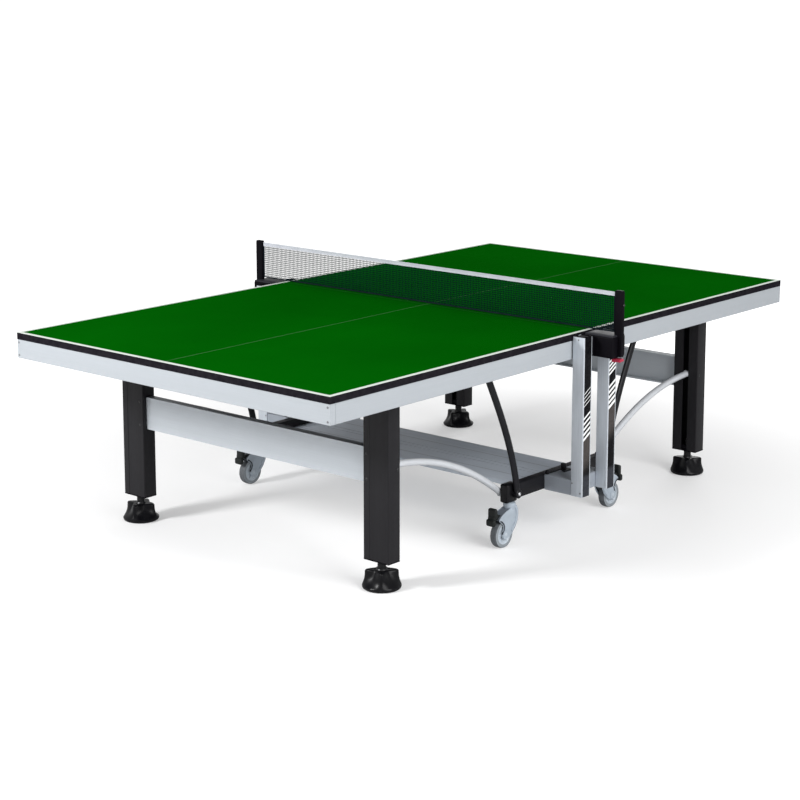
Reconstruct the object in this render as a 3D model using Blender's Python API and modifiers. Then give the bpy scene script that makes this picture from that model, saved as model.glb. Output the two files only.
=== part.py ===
"""Folding competition table-tennis table with a wheeled centre chassis.

Metres, +Z up. The origin is on the floor under the middle of the net. X runs along the table,
Y across it. Each half of the table is built in the frame of an empty: the half that reaches
towards -X has it unturned, the other half has it turned by half a turn about Z.
"""

import math

import bmesh
import bpy
from mathutils import Matrix, Vector

# ---------------------------------------------------------------- driving dimensions
TABLE_LENGTH = 2.740
TABLE_WIDTH = 1.525
TABLE_HEIGHT = 0.760
BOARD_THICKNESS = 0.025
CENTRE_GAP = 0.004
BOARD_CHAMFER = 0.002
FIT = 0.0003

APRON_HEIGHT = 0.068
APRON_THICKNESS = 0.025
APRON_INNER_END = 0.030
SMALL_EDGE = 0.0015

POST_X = 0.0775
POST_SIZE = 0.050
POST_WALL = 0.004
POST_SLOT = 0.018
POST_INNER_FACE = 0.768
POST_BOTTOM = 0.165
POST_TOP = 0.755

FOLD_HEIGHT = 0.740
PIN_RADIUS = 0.007
SLIDER_CLEARANCE = 0.0008
SLIDER_HEIGHT = 0.060
SLIDER_ABOVE_PIN = 0.012

CHASSIS_BOTTOM = 0.165
CHASSIS_TOP = 0.222
RAIL_INNER_FACE = 0.615
RAIL_OUTER_FACE = 0.648
RAIL_HALF_LENGTH = 0.316
CORNER_LENGTH = 0.054
CORNER_SWELL = 0.006
RAIL_DROP = 0.003
SOCKET_RADIUS = 0.015
SOCKET_DEPTH = 0.010
SIDE_BOX_HALF_LENGTH = 0.100
BRIDGE_HALF_WIDTH = 0.177
BRIDGE_TOP = 0.190
BRIDGE_BOTTOM = 0.176
BRIDGE_GROOVE = 0.004
BRIDGE_GROOVE_SPACING = 0.030

CASTER_X = 0.290
CASTER_Y = 0.635
CASTER_TRAIL = 0.045
CASTER_TOP = 0.150
WHEEL_RADIUS = 0.050
WHEEL_WIDTH = 0.028
AXLE_RADIUS = 0.005
FORK_WIDTH = 0.042
FORK_SLOT = 0.032
FORK_FRONT = [(0.022, 0.144), (0.027, 0.130), (0.024, 0.090), (-0.002, 0.052)]
FORK_AXLE_BOSS = 0.022
FORK_BACK = [(-0.074, 0.070), (-0.082, 0.098), (-0.080, 0.112), (-0.066, 0.126), (-0.040, 0.134)]
FORK_SHOULDER = [(-0.022, 0.136), (-0.020, 0.144)]
FORK_CLEARANCE = 0.005
SWIVEL_STEM_RADIUS = 0.013
SWIVEL_STEM_LENGTH = 0.012
AXLE_PROUD = 0.003
WHEEL_HUB = 0.014
WHEEL_WEB_INNER = 0.017
WHEEL_WEB_OUTER = 0.032
WHEEL_RIM = 0.036
WHEEL_DISH = 0.005
TYRE_SHOULDER = 0.005
TYRE_CROWN = 0.006
AXLE_CLEARANCE = 0.0006
PEDAL_WIDTH = 0.036
PEDAL_AXIS_X = -0.096
PEDAL_AXIS_Z = 0.122
PEDAL_UPPER_CENTRE = (-0.001, 0.010)
PEDAL_UPPER_RADIUS = 0.013
PEDAL_LOWER_CENTRE = (-0.008, -0.016)
PEDAL_LOWER_RADIUS = 0.012

NET_TOP = 0.9125
NET_BOTTOM = 0.766
NET_THICKNESS = 0.003
NET_END = 0.876
NET_TAPE_HEIGHT = 0.015
NET_POST_INNER = 0.880
NET_POST_OUTER = 0.912
NET_POST_TOP = 0.919
NET_POST_HALF_X = 0.0085
NET_POST_EDGE = 0.002
NET_RAIL_HALF_X = 0.004
NET_RAIL_TOP = 0.915
BRACKET_BOTTOM = 0.676
BRACKET_TOP = 0.758
BRACKET_HALF_X = 0.040
BRACKET_INNER = 0.798
BRACKET_OUTER = 0.896
BRACKET_EDGE = 0.004
TONGUE_INNER = 0.770
TONGUE_OUTER = 0.816
TONGUE_INSET = 0.006
TONGUE_DROP = 0.010
LEVER_DROP = 0.003
LEVER_AXIS_INSET = 0.002
LEVER_REACH = 0.028
LEVER_WIDTH = 0.022
LEVER_TIP_RADIUS = 0.006
LEVER_HUB_RADIUS = 0.007

LEG_X = 0.946
LEG_Y = 0.601
LEG_SIZE_X = 0.060
LEG_SIZE_Y = 0.112
LEG_WALL = 0.004
LEG_SLOT = 0.027
LEG_BOTTOM = 0.0955
LEG_TOP = 0.722
LEG_PLUG = 0.025
LEG_CHANNEL_TOP = 0.670
LEG_STEM_CLEARANCE = 0.0008
LEG_HINGE_X = 0.890
LEG_HINGE_Z = 0.700
HINGE_BARREL_RADIUS = 0.015
HINGE_ARM_HALF_HEIGHT = 0.013
HINGE_ARM_INSET = 0.002
HINGE_ARM_OVERLAP = 0.010

BEAM_OUTER_X = 0.957
BEAM_DEPTH = 0.034
BEAM_BOTTOM = 0.359
BEAM_TOP = 0.480
BEAM_WALL = 0.004

FOOT_RADIUS = 0.067
FOOT_HEIGHT = 0.066
GRIP_RADIUS = 0.0565
GRIP_EDGE_RADIUS = 0.0525
GRIP_EDGE_HEIGHT = 0.060
GRIP_LOW = 0.040
BELL_RADIUS = 0.062
BELL_HEIGHT = 0.024
RIM_HEIGHT = 0.012
SOLE_RADIUS = 0.063
STEM_RADIUS = 0.0145
STEM_TOP = 0.145

STRUT_Y = 0.660
STRUT_WIDTH = 0.029
STRUT_THICKNESS = 0.019
STRUT_BAR_SHARE = 0.94
STRUT_EYE_SWELL = 0.002
STRUT_LOW = Vector((-0.276, 0.0, 0.190))
STRUT_HIGH = Vector((-0.483, 0.0, 0.700))
STRUT_LOW_LEAN = Vector((-0.17, 0.0, 0.985))
STRUT_HIGH_LEAN = Vector((0.47, 0.0, -0.883))
STRUT_HANDLE = 0.190

LINK_Y = 0.601
LINK_RADIUS = 0.0125
LINK_LEG_END = Vector((-0.928, 0.0, 0.416))
LINK_FRAME_END = Vector((-0.295, 0.0, 0.185))
LINK_LEG_LEAN = Vector((1.0, 0.0, -0.03))
LINK_FRAME_LEAN = Vector((-0.805, 0.0, 0.593))
LINK_HANDLE = 0.240
CURVE_STEPS = 14

BAR_Y = 0.690
BAR_WIDTH = 0.020
BAR_BOTTOM = 0.702
BAR_INNER_END = 0.060
BAR_OUTER_END = 1.100
CROSS_BAR_WIDTH = 0.030
CROSS_BAR_DROP = 0.001
CROSS_BAR_LIFT = 0.002
LUG_HALF_SIZE = 0.016
LUG_CLEARANCE = 0.001
SLIDER_EDGE = 0.002
SMOOTH_ANGLE = 35.0

HALF_LENGTH = TABLE_LENGTH / 2
HALF_WIDTH = TABLE_WIDTH / 2
BOARD_BOTTOM = TABLE_HEIGHT - BOARD_THICKNESS
ROUND = 24

PARTS = None
MATERIALS = {}


# ---------------------------------------------------------------- scene and materials
def clear_scene():
    """Empty the scene and make the collection for the parts."""
    global PARTS
    for old in list(bpy.data.objects):
        bpy.data.objects.remove(old, do_unlink=True)
    PARTS = bpy.data.collections.new("Ping_Pong_Table")
    bpy.context.scene.collection.children.link(PARTS)


def material(name, colour, roughness, metallic=0.0):
    """A plain Principled material, made once for each name."""
    if name not in MATERIALS:
        made = bpy.data.materials.new(name)
        made.use_nodes = True
        shader = made.node_tree.nodes["Principled BSDF"]
        shader.inputs["Base Color"].default_value = (*colour, 1.0)
        shader.inputs["Roughness"].default_value = roughness
        shader.inputs["Metallic"].default_value = metallic
        MATERIALS[name] = made
    return MATERIALS[name]


def playing_surface():
    return material("Green_Board", (0.004, 0.13, 0.006), 0.45)


def silver():
    return material("Silver_Aluminium", (0.70, 0.72, 0.75), 0.38, 0.7)


def grey():
    return material("Grey_Aluminium", (0.42, 0.45, 0.48), 0.42, 0.6)


def black_metal():
    return material("Black_Metal", (0.015, 0.015, 0.017), 0.40, 0.2)


def black_plastic():
    return material("Black_Plastic", (0.012, 0.012, 0.013), 0.30)


def caster_grey():
    return material("Caster_Grey", (0.36, 0.40, 0.45), 0.45)


def tyre_grey():
    return material("Tyre_Grey", (0.25, 0.26, 0.28), 0.65)


def net_fabric():
    return material("Net_Fabric", (0.012, 0.03, 0.02), 0.85)


def tape_white():
    return material("Tape_White", (0.85, 0.86, 0.87), 0.75)


def lever_red():
    return material("Lever_Red", (0.65, 0.02, 0.02), 0.40)


# ---------------------------------------------------------------- shapes
def holder(mesh):
    """A loose object in the parts' collection that carries a mesh while it is shaped."""
    made = bpy.data.objects.new("shape", mesh)
    PARTS.objects.link(made)
    return made


def from_bmesh(shape):
    mesh = bpy.data.meshes.new("shape")
    shape.to_mesh(mesh)
    shape.free()
    return holder(mesh)


def box(low, high, edge=0.0):
    """A box between two corners, its edges broken by a small flat."""
    low = Vector(low)
    high = Vector(high)
    shape = bmesh.new()
    bmesh.ops.create_cube(shape, size=1.0)
    bmesh.ops.scale(shape, vec=high - low, verts=shape.verts)
    bmesh.ops.translate(shape, vec=(high + low) / 2, verts=shape.verts)
    if edge:
        bmesh.ops.bevel(shape, geom=shape.edges[:], offset=edge, segments=1, affect="EDGES")
    return from_bmesh(shape)


def cylinder(radius, length, centre, axis="Z", segments=ROUND):
    """A cylinder about a centre, along X, Y or Z."""
    turn = {
        "X": Matrix.Rotation(math.pi / 2, 4, "Y"),
        "Y": Matrix.Rotation(math.pi / 2, 4, "X"),
        "Z": Matrix.Identity(4),
    }[axis]
    shape = bmesh.new()
    bmesh.ops.create_cone(
        shape,
        cap_ends=True,
        segments=segments,
        radius1=radius,
        radius2=radius,
        depth=length,
        matrix=Matrix.Translation(Vector(centre)) @ turn,
    )
    return from_bmesh(shape)


def evaluated_mesh(source):
    """The welded mesh of an object with its modifiers or its bevelled curve."""
    graph = bpy.context.evaluated_depsgraph_get()
    mesh = bpy.data.meshes.new_from_object(source.evaluated_get(graph))
    shape = bmesh.new()
    shape.from_mesh(mesh)
    bmesh.ops.remove_doubles(shape, verts=shape.verts, dist=0.00001)
    shape.to_mesh(mesh)
    shape.free()
    return mesh


def from_curve(curve):
    """Turn a curve into a mesh object and drop the curve."""
    drawn = bpy.data.objects.new("curve", curve)
    PARTS.objects.link(drawn)
    mesh = evaluated_mesh(drawn)
    bpy.data.objects.remove(drawn, do_unlink=True)
    return holder(mesh)


def poly_spline(curve, points, cyclic):
    spline = curve.splines.new("POLY")
    spline.points.add(len(points) - 1)
    for slot, point in zip(spline.points, points):
        slot.co = (*point, 1.0)
    spline.use_cyclic_u = cyclic


def extrusion(outline, thickness, plane="XZ"):
    """A flat outline given in XZ, or in XY, filled and pulled out evenly to both sides."""
    curve = bpy.data.curves.new("outline", "CURVE")
    curve.dimensions = "2D"
    curve.fill_mode = "BOTH"
    curve.extrude = thickness / 2
    poly_spline(curve, [(a, b, 0.0) for a, b in outline], True)
    made = from_curve(curve)
    if plane == "XZ":
        made.data.transform(Matrix.Rotation(math.pi / 2, 4, "X"))
    return made


def turned(profile, steps=ROUND):
    """A solid of revolution about Z; the profile runs down the outer side."""
    mesh = bpy.data.meshes.new("profile")
    points = [(radius, 0.0, height) for radius, height in profile]
    links = [(i, i + 1) for i in range(len(points) - 1)]
    if profile[0][0] > 0.0:
        links.append((len(points) - 1, 0))
    mesh.from_pydata(points, links, [])
    made = holder(mesh)
    screw = made.modifiers.new("Turn", "SCREW")
    screw.axis = "Z"
    screw.steps = steps
    screw.render_steps = steps
    screw.use_merge_vertices = True
    screw.merge_threshold = 0.00001
    done = evaluated_mesh(made)
    bpy.data.objects.remove(made, do_unlink=True)
    return holder(done)


def tube(points, radius, resolution=3):
    """A round bar with closed ends along a line of points."""
    curve = bpy.data.curves.new("bar", "CURVE")
    curve.dimensions = "3D"
    curve.bevel_depth = radius
    curve.bevel_resolution = resolution
    curve.use_fill_caps = True
    poly_spline(curve, points, False)
    return from_curve(curve)


def combine(base, others, operation):
    """Join other solids to a base, or cut them out of it, and drop them."""
    for other in others:
        change = base.modifiers.new("Change", "BOOLEAN")
        change.operation = operation
        change.object = other
    mesh = evaluated_mesh(base)
    for used in [base, *others]:
        bpy.data.objects.remove(used, do_unlink=True)
    return holder(mesh)


def arc(centre, radius, start, end, count):
    """Points on a circle in a plane, with the angles in degrees."""
    points = []
    for i in range(count + 1):
        angle = math.radians(start + (end - start) * i / count)
        points.append((centre[0] + radius * math.cos(angle), centre[1] + radius * math.sin(angle)))
    return points


def bow(start, start_lean, end, end_lean, handle):
    """Points on a smooth bow between two ends with given leans."""
    first = start + start_lean * handle
    second = end + end_lean * handle
    points = []
    for i in range(CURVE_STEPS + 1):
        t = i / CURVE_STEPS
        s = 1.0 - t
        points.append(start * s**3 + first * 3 * s * s * t + second * 3 * s * t * t + end * t**3)
    return points


def finish(shape, coat, smooth=True):
    """Give a finished shape its material and shading, and hand back its mesh."""
    mesh = shape.data
    mesh.materials.clear()
    mesh.materials.append(coat)
    if smooth:
        mesh.shade_smooth()
        mesh.set_sharp_from_angle(angle=math.radians(SMOOTH_ANGLE))
    bpy.data.objects.remove(shape, do_unlink=True)
    return mesh


# ---------------------------------------------------------------- placing
def pivot(name, parent, at):
    """An empty on a joint's axis; 'home' keeps its place in the frame of its half."""
    made = bpy.data.objects.new(name, None)
    made.empty_display_size = 0.05
    PARTS.objects.link(made)
    made["home"] = tuple(at)
    if parent is not None:
        made.parent = parent
        made.location = Vector(at) - Vector(parent["home"])
    return made


def place(name, mesh, parent, at=(0.0, 0.0, 0.0), turn=0.0):
    """Put a piece at a point of its half's frame, turned about Z."""
    made = bpy.data.objects.new(name, mesh)
    PARTS.objects.link(made)
    made.parent = parent
    made.location = Vector(at) - Vector(parent["home"])
    made.rotation_euler = (0.0, 0.0, turn)
    return made


# ---------------------------------------------------------------- meshes of the chassis
def bridge_mesh():
    """The wide flat beam that joins both sides, with two grooves along its top."""
    half = BRIDGE_HALF_WIDTH
    deep = BRIDGE_TOP - BRIDGE_GROOVE
    outline = [
        (-half, BRIDGE_BOTTOM),
        (half, BRIDGE_BOTTOM),
        (half, deep),
        (half - BRIDGE_GROOVE, BRIDGE_TOP),
    ]
    for centre in (BRIDGE_GROOVE_SPACING / 2, -BRIDGE_GROOVE_SPACING / 2):
        outline.append((centre + BRIDGE_GROOVE / 2, BRIDGE_TOP))
        outline.append((centre, deep))
        outline.append((centre - BRIDGE_GROOVE / 2, BRIDGE_TOP))
    outline.append((BRIDGE_GROOVE - half, BRIDGE_TOP))
    outline.append((-half, deep))
    return finish(extrusion(outline, 2 * (RAIL_INNER_FACE - FIT)), grey())


def rail_mesh():
    """A side rail along X with the two corner housings that carry the casters."""
    middle = (RAIL_INNER_FACE + RAIL_OUTER_FACE) / 2
    depth = (RAIL_OUTER_FACE - RAIL_INNER_FACE) / 2
    rail = box(
        (-RAIL_HALF_LENGTH, -depth, CHASSIS_BOTTOM + RAIL_DROP),
        (RAIL_HALF_LENGTH, depth, CHASSIS_TOP),
        SMALL_EDGE,
    )
    extras = []
    for side in (-1, 1):
        ends = sorted((side * (RAIL_HALF_LENGTH - CORNER_LENGTH), side * (RAIL_HALF_LENGTH + CORNER_SWELL)))
        extras.append(
            box(
                (ends[0], -depth + SMALL_EDGE, CHASSIS_BOTTOM - CORNER_SWELL),
                (ends[1], depth - SMALL_EDGE, CHASSIS_TOP + CORNER_SWELL),
                SMALL_EDGE,
            )
        )
        top = CHASSIS_BOTTOM + SOCKET_DEPTH
        socket_centre = (side * CASTER_X, middle - CASTER_Y, (CASTER_TOP + top) / 2)
        extras.append(cylinder(SOCKET_RADIUS, top - CASTER_TOP, socket_centre))
    return finish(combine(rail, extras, "UNION"), black_metal())


def side_box_mesh():
    """The aluminium box that carries the two posts of a side."""
    length = POST_INNER_FACE - FIT - RAIL_OUTER_FACE - FIT
    return finish(
        box(
            (-SIDE_BOX_HALF_LENGTH, -length / 2, CHASSIS_BOTTOM),
            (SIDE_BOX_HALF_LENGTH, length / 2, CHASSIS_TOP),
            SMALL_EDGE,
        ),
        grey(),
    )


def post_mesh():
    """A square guide tube with a slot down the face at +Y."""
    half = POST_SIZE / 2
    inside = half - POST_WALL
    slot = POST_SLOT / 2
    outline = [
        (-slot, half),
        (-half, half),
        (-half, -half),
        (half, -half),
        (half, half),
        (slot, half),
        (slot, inside),
        (inside, inside),
        (inside, -inside),
        (-inside, -inside),
        (-inside, inside),
        (-slot, inside),
    ]
    return finish(extrusion(outline, POST_TOP - POST_BOTTOM, "XY"), silver())


def net_post_mesh():
    """The net post at -Y with its bracket between the two guide tubes; y = 0 is the net's end."""
    between = POST_X - POST_SIZE / 2 - FIT
    column = box(
        (-NET_POST_HALF_X, NET_END - NET_POST_OUTER, BRACKET_BOTTOM + BRACKET_EDGE),
        (NET_POST_HALF_X, NET_END - NET_POST_INNER, NET_POST_TOP),
        NET_POST_EDGE,
    )
    rail = box(
        (-NET_RAIL_HALF_X, NET_END - NET_POST_INNER - SMALL_EDGE, NET_BOTTOM),
        (NET_RAIL_HALF_X, -FIT, NET_RAIL_TOP),
    )
    bracket = box(
        (-BRACKET_HALF_X, NET_END - BRACKET_OUTER, BRACKET_BOTTOM),
        (BRACKET_HALF_X, NET_END - BRACKET_INNER, BRACKET_TOP),
        BRACKET_EDGE,
    )
    tongue = box(
        (-between, NET_END - TONGUE_OUTER, BRACKET_BOTTOM + TONGUE_INSET),
        (between, NET_END - TONGUE_INNER, BRACKET_TOP - TONGUE_DROP),
        SMALL_EDGE,
    )
    return finish(combine(column, [rail, bracket, tongue], "UNION"), black_plastic())


def release_lever_mesh():
    """A red finger lever under the net bracket, hinged about X at its inner end."""
    tip = (-LEVER_REACH, -LEVER_TIP_RADIUS)
    hub = (0.0, -LEVER_HUB_RADIUS)
    outline = arc(tip, LEVER_TIP_RADIUS, 90, 270, 6) + arc(hub, LEVER_HUB_RADIUS, -90, 90, 6)
    made = extrusion(outline, LEVER_WIDTH)
    made.data.transform(Matrix.Rotation(math.pi / 2, 4, "Z"))
    return finish(made, lever_red())


def net_mesh(bottom, top):
    half = NET_THICKNESS / 2
    return box((-half, -NET_END, bottom), (half, NET_END, top))


# ---------------------------------------------------------------- meshes of a caster
def fork_mesh():
    """The swivelling housing; z = 0 is the floor and the swivel axis is the local Z axis."""
    axle = (-CASTER_TRAIL, WHEEL_RADIUS)
    outline = FORK_FRONT + arc(axle, FORK_AXLE_BOSS, -45, -150, 6) + FORK_BACK + FORK_SHOULDER
    body = extrusion(outline, FORK_WIDTH)
    above_wheel = 2 * WHEEL_RADIUS + FORK_CLEARANCE
    gap = box((-2 * WHEEL_RADIUS, -FORK_SLOT / 2, -WHEEL_RADIUS), (WHEEL_RADIUS, FORK_SLOT / 2, above_wheel))
    body = combine(body, [gap], "DIFFERENCE")
    stem_centre = (0.0, 0.0, CASTER_TOP - FIT - SWIVEL_STEM_LENGTH / 2)
    stem = cylinder(SWIVEL_STEM_RADIUS, SWIVEL_STEM_LENGTH, stem_centre)
    pin = cylinder(AXLE_RADIUS, FORK_WIDTH + 2 * AXLE_PROUD, (axle[0], 0.0, axle[1]), "Y", 16)
    return finish(combine(body, [stem, pin], "UNION"), caster_grey())


def wheel_mesh():
    """A wheel about the Y axis with a raised hub, a dished web and a rounded tyre."""
    half = WHEEL_WIDTH / 2
    bore = AXLE_RADIUS + AXLE_CLEARANCE
    side = [
        (bore, half),
        (WHEEL_HUB, half),
        (WHEEL_WEB_INNER, half - WHEEL_DISH),
        (WHEEL_WEB_OUTER, half - WHEEL_DISH),
        (WHEEL_RIM, half),
        (WHEEL_RADIUS - TYRE_SHOULDER, half),
        (WHEEL_RADIUS, half - TYRE_CROWN),
    ]
    other = [(radius, -height) for radius, height in reversed(side)]
    made = turned(side + other, 28)
    made.data.transform(Matrix.Rotation(math.pi / 2, 4, "X"))
    return finish(made, tyre_grey())


def pedal_mesh():
    """A two-lobed brake pedal hinged about Y between its lobes."""
    upper = arc(PEDAL_UPPER_CENTRE, PEDAL_UPPER_RADIUS, -10, 170, 6)
    lower = arc(PEDAL_LOWER_CENTRE, PEDAL_LOWER_RADIUS, 170, 350, 6)
    return finish(extrusion(upper + lower, PEDAL_WIDTH), black_plastic())


# ---------------------------------------------------------------- meshes of a half table
def board_mesh():
    inner = CENTRE_GAP / 2
    made = box(
        (-HALF_LENGTH, -HALF_WIDTH, BOARD_BOTTOM),
        (-inner, HALF_WIDTH, TABLE_HEIGHT),
    )
    shape = bmesh.new()
    shape.from_mesh(made.data)
    top_edges = [e for e in shape.edges if all(v.co.z > TABLE_HEIGHT - FIT for v in e.verts)]
    inner_top = [e for e in top_edges if all(v.co.x > -HALF_LENGTH / 2 for v in e.verts)]
    bmesh.ops.bevel(shape, geom=inner_top, offset=BOARD_CHAMFER, segments=1, affect="EDGES")
    shape.to_mesh(made.data)
    shape.free()
    return finish(made, playing_surface())


def apron_mesh(length, along):
    """A rail under the board's edge, along X or Y, with its top face at z = 0."""
    size = {"X": (length / 2, APRON_THICKNESS / 2), "Y": (APRON_THICKNESS / 2, length / 2)}[along]
    return finish(box((-size[0], -size[1], -APRON_HEIGHT), (size[0], size[1], 0.0), SMALL_EDGE), silver())


def under_frame_mesh():
    """The steel frame under a board with the lugs of the struts and of the legs."""
    top = BOARD_BOTTOM - FIT
    half = BAR_WIDTH / 2
    wall = HALF_WIDTH - APRON_THICKNESS - FIT
    frame = box((-BAR_OUTER_END, -BAR_Y - half, BAR_BOTTOM), (-BAR_INNER_END, -BAR_Y + half, top))
    pieces = [box((-BAR_OUTER_END, BAR_Y - half, BAR_BOTTOM), (-BAR_INNER_END, BAR_Y + half, top))]
    for outer in (BAR_OUTER_END, BAR_INNER_END + CROSS_BAR_WIDTH):
        pieces.append(
            box(
                (-outer - CROSS_BAR_DROP, -wall, BAR_BOTTOM + CROSS_BAR_LIFT),
                (CROSS_BAR_WIDTH - outer, wall, top - CROSS_BAR_DROP),
            )
        )
    for side in (-1, 1):
        lugs = [
            (STRUT_HIGH.x, STRUT_HIGH.z, STRUT_Y + STRUT_THICKNESS / 2 + LUG_CLEARANCE),
            (-LEG_HINGE_X, LEG_HINGE_Z, LEG_Y + LEG_SIZE_Y / 2 + LUG_CLEARANCE),
        ]
        for x, z, face in lugs:
            ends = sorted((side * face, side * (BAR_Y - half + LUG_CLEARANCE)))
            pieces.append(
                box(
                    (x - LUG_HALF_SIZE, ends[0], z - LUG_HALF_SIZE),
                    (x + LUG_HALF_SIZE, ends[1], top - CROSS_BAR_DROP),
                )
            )
    return finish(combine(frame, pieces, "UNION"), black_metal())


def slider_mesh():
    """The block inside a guide tube, with the pin that carries the table at +Y."""
    half = POST_SIZE / 2 - POST_WALL - SLIDER_CLEARANCE
    reach = POST_INNER_FACE - HALF_WIDTH + POST_SIZE / 2 - FIT
    block = box(
        (-half, -half, SLIDER_ABOVE_PIN - SLIDER_HEIGHT),
        (half, half, SLIDER_ABOVE_PIN),
        SLIDER_EDGE,
    )
    pin = cylinder(PIN_RADIUS, reach, (0.0, reach / 2, 0.0), "Y", 16)
    return finish(combine(block, [pin], "UNION"), black_plastic())


# ---------------------------------------------------------------- meshes of the legs
def leg_mesh():
    """A channel leg, open down the middle of its inner face, with a hinge barrel at its top.

    The local origin is on the leg's centre line at floor level, and +X is towards the net.
    """
    half_x = LEG_SIZE_X / 2
    half_y = LEG_SIZE_Y / 2
    leg = box((-half_x, -half_y, LEG_BOTTOM), (half_x, half_y, LEG_TOP), SMALL_EDGE)
    floor = LEG_BOTTOM + LEG_PLUG
    hollow = box(
        (LEG_WALL - half_x, LEG_WALL - half_y, floor),
        (half_x - LEG_WALL, half_y - LEG_WALL, LEG_CHANNEL_TOP),
    )
    slot = box((0.0, -LEG_SLOT / 2, floor), (LEG_SIZE_X, LEG_SLOT / 2, LEG_CHANNEL_TOP))
    bore = cylinder(STEM_RADIUS + LEG_STEM_CLEARANCE, LEG_TOP / 2, (0.0, 0.0, LEG_BOTTOM))
    leg = combine(leg, [hollow, slot, bore], "DIFFERENCE")
    offset = LEG_X - LEG_HINGE_X
    arm = box(
        (half_x - HINGE_ARM_OVERLAP, HINGE_ARM_INSET - half_y, LEG_HINGE_Z - HINGE_ARM_HALF_HEIGHT),
        (offset, half_y - HINGE_ARM_INSET, LEG_HINGE_Z + HINGE_ARM_HALF_HEIGHT),
    )
    barrel = cylinder(HINGE_BARREL_RADIUS, LEG_SIZE_Y, (offset, 0.0, LEG_HINGE_Z), "Y")
    return finish(combine(leg, [arm, barrel], "UNION"), black_metal())


def beam_mesh():
    """The channel beam between the two legs of a half, open towards the net."""
    outline = [
        (0.0, BEAM_BOTTOM),
        (BEAM_DEPTH, BEAM_BOTTOM),
        (BEAM_DEPTH, BEAM_BOTTOM + BEAM_WALL),
        (BEAM_WALL, BEAM_BOTTOM + BEAM_WALL),
        (BEAM_WALL, BEAM_TOP - BEAM_WALL),
        (BEAM_DEPTH, BEAM_TOP - BEAM_WALL),
        (BEAM_DEPTH, BEAM_TOP),
        (0.0, BEAM_TOP),
    ]
    length = 2 * (LEG_Y - LEG_SIZE_Y / 2 - FIT)
    return finish(extrusion(outline, length), silver())


def foot_mesh():
    """A levelling foot: a bell-shaped base with a hand grip and a threaded stem."""
    profile = [
        (0.0, STEM_TOP),
        (STEM_RADIUS, STEM_TOP),
        (STEM_RADIUS, FOOT_HEIGHT),
        (GRIP_EDGE_RADIUS, FOOT_HEIGHT),
        (GRIP_RADIUS, GRIP_EDGE_HEIGHT),
        (GRIP_RADIUS, GRIP_LOW),
        (BELL_RADIUS, BELL_HEIGHT),
        (FOOT_RADIUS, RIM_HEIGHT),
        (SOLE_RADIUS, 0.0),
        (0.0, 0.0),
    ]
    return finish(turned(profile, ROUND), black_plastic())


def strut_mesh():
    """The bowed strut between a corner housing and the frame under the board."""
    line = bow(STRUT_LOW, STRUT_LOW_LEAN, STRUT_HIGH, STRUT_HIGH_LEAN, STRUT_HANDLE)
    bar = tube([point - STRUT_HIGH for point in line], STRUT_WIDTH / 2)
    flatness = STRUT_BAR_SHARE * STRUT_THICKNESS / STRUT_WIDTH
    bar.data.transform(Matrix.Diagonal((1.0, flatness, 1.0, 1.0)))
    ends = [
        cylinder(STRUT_WIDTH / 2 + STRUT_EYE_SWELL, STRUT_THICKNESS, end - STRUT_HIGH, "Y")
        for end in (STRUT_LOW, STRUT_HIGH)
    ]
    return finish(combine(bar, ends, "UNION"), black_metal())


def link_mesh():
    """The bowed silver link between a leg's slot and a corner housing."""
    line = bow(LINK_LEG_END, LINK_LEG_LEAN, LINK_FRAME_END, LINK_FRAME_LEAN, LINK_HANDLE)
    return finish(tube([point - LINK_LEG_END for point in line], LINK_RADIUS), silver())


# ---------------------------------------------------------------- assembly
def build_chassis(base):
    place("Bridge_Beam", bridge_mesh(), base)
    rail = rail_mesh()
    side_box = side_box_mesh()
    post = post_mesh()
    net_post = net_post_mesh()
    lever = release_lever_mesh()
    rail_y = (RAIL_INNER_FACE + RAIL_OUTER_FACE) / 2
    box_y = (RAIL_OUTER_FACE + POST_INNER_FACE) / 2
    post_y = POST_INNER_FACE + POST_SIZE / 2
    post_z = (POST_BOTTOM + POST_TOP) / 2
    for word, side, turn in (("Near", -1, 0.0), ("Far", 1, math.pi)):
        place(f"Side_Rail_{word}", rail, base, (0.0, side * rail_y, 0.0), turn)
        place(f"Side_Box_{word}", side_box, base, (0.0, side * box_y, 0.0), turn)
        for end, x in (("Left", -POST_X), ("Right", POST_X)):
            place(f"Guide_Post_{word}_{end}", post, base, (x, side * post_y, post_z), turn)
        place(f"Net_Post_{word}", net_post, base, (0.0, side * NET_END, 0.0), turn)
        axis = (0.0, side * (NET_END + LEVER_AXIS_INSET), BRACKET_BOTTOM - LEVER_DROP)
        hinge = pivot(f"Lever_Axis_{word}", base, axis)
        place(f"Release_Lever_{word}", lever, hinge, axis, turn)
    tape_bottom = NET_TOP - NET_TAPE_HEIGHT
    place("Net_Mesh", finish(net_mesh(NET_BOTTOM, tape_bottom - FIT), net_fabric(), False), base)
    place("Net_Tape", finish(net_mesh(tape_bottom, NET_TOP), tape_white(), False), base)


def build_casters(base):
    fork = fork_mesh()
    wheel = wheel_mesh()
    pedal = pedal_mesh()
    for side_word, side in (("Near", -1), ("Far", 1)):
        for end_word, end, turn in (("Left", -1, 0.0), ("Right", 1, math.pi)):
            word = f"{side_word}_{end_word}"
            home = Vector((end * CASTER_X, side * CASTER_Y, 0.0))
            swivel = pivot(f"Swivel_{word}", base, home)
            place(f"Caster_Fork_{word}", fork, swivel, home, turn)
            axle = home + Vector((end * CASTER_TRAIL, 0.0, WHEEL_RADIUS))
            spin = pivot(f"Axle_{word}", swivel, axle)
            place(f"Caster_Wheel_{word}", wheel, spin, axle)
            hinge = home + Vector((-end * PEDAL_AXIS_X, 0.0, PEDAL_AXIS_Z))
            tilt = pivot(f"Pedal_Axis_{word}", swivel, hinge)
            place(f"Brake_Pedal_{word}", pedal, tilt, hinge, turn)


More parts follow.
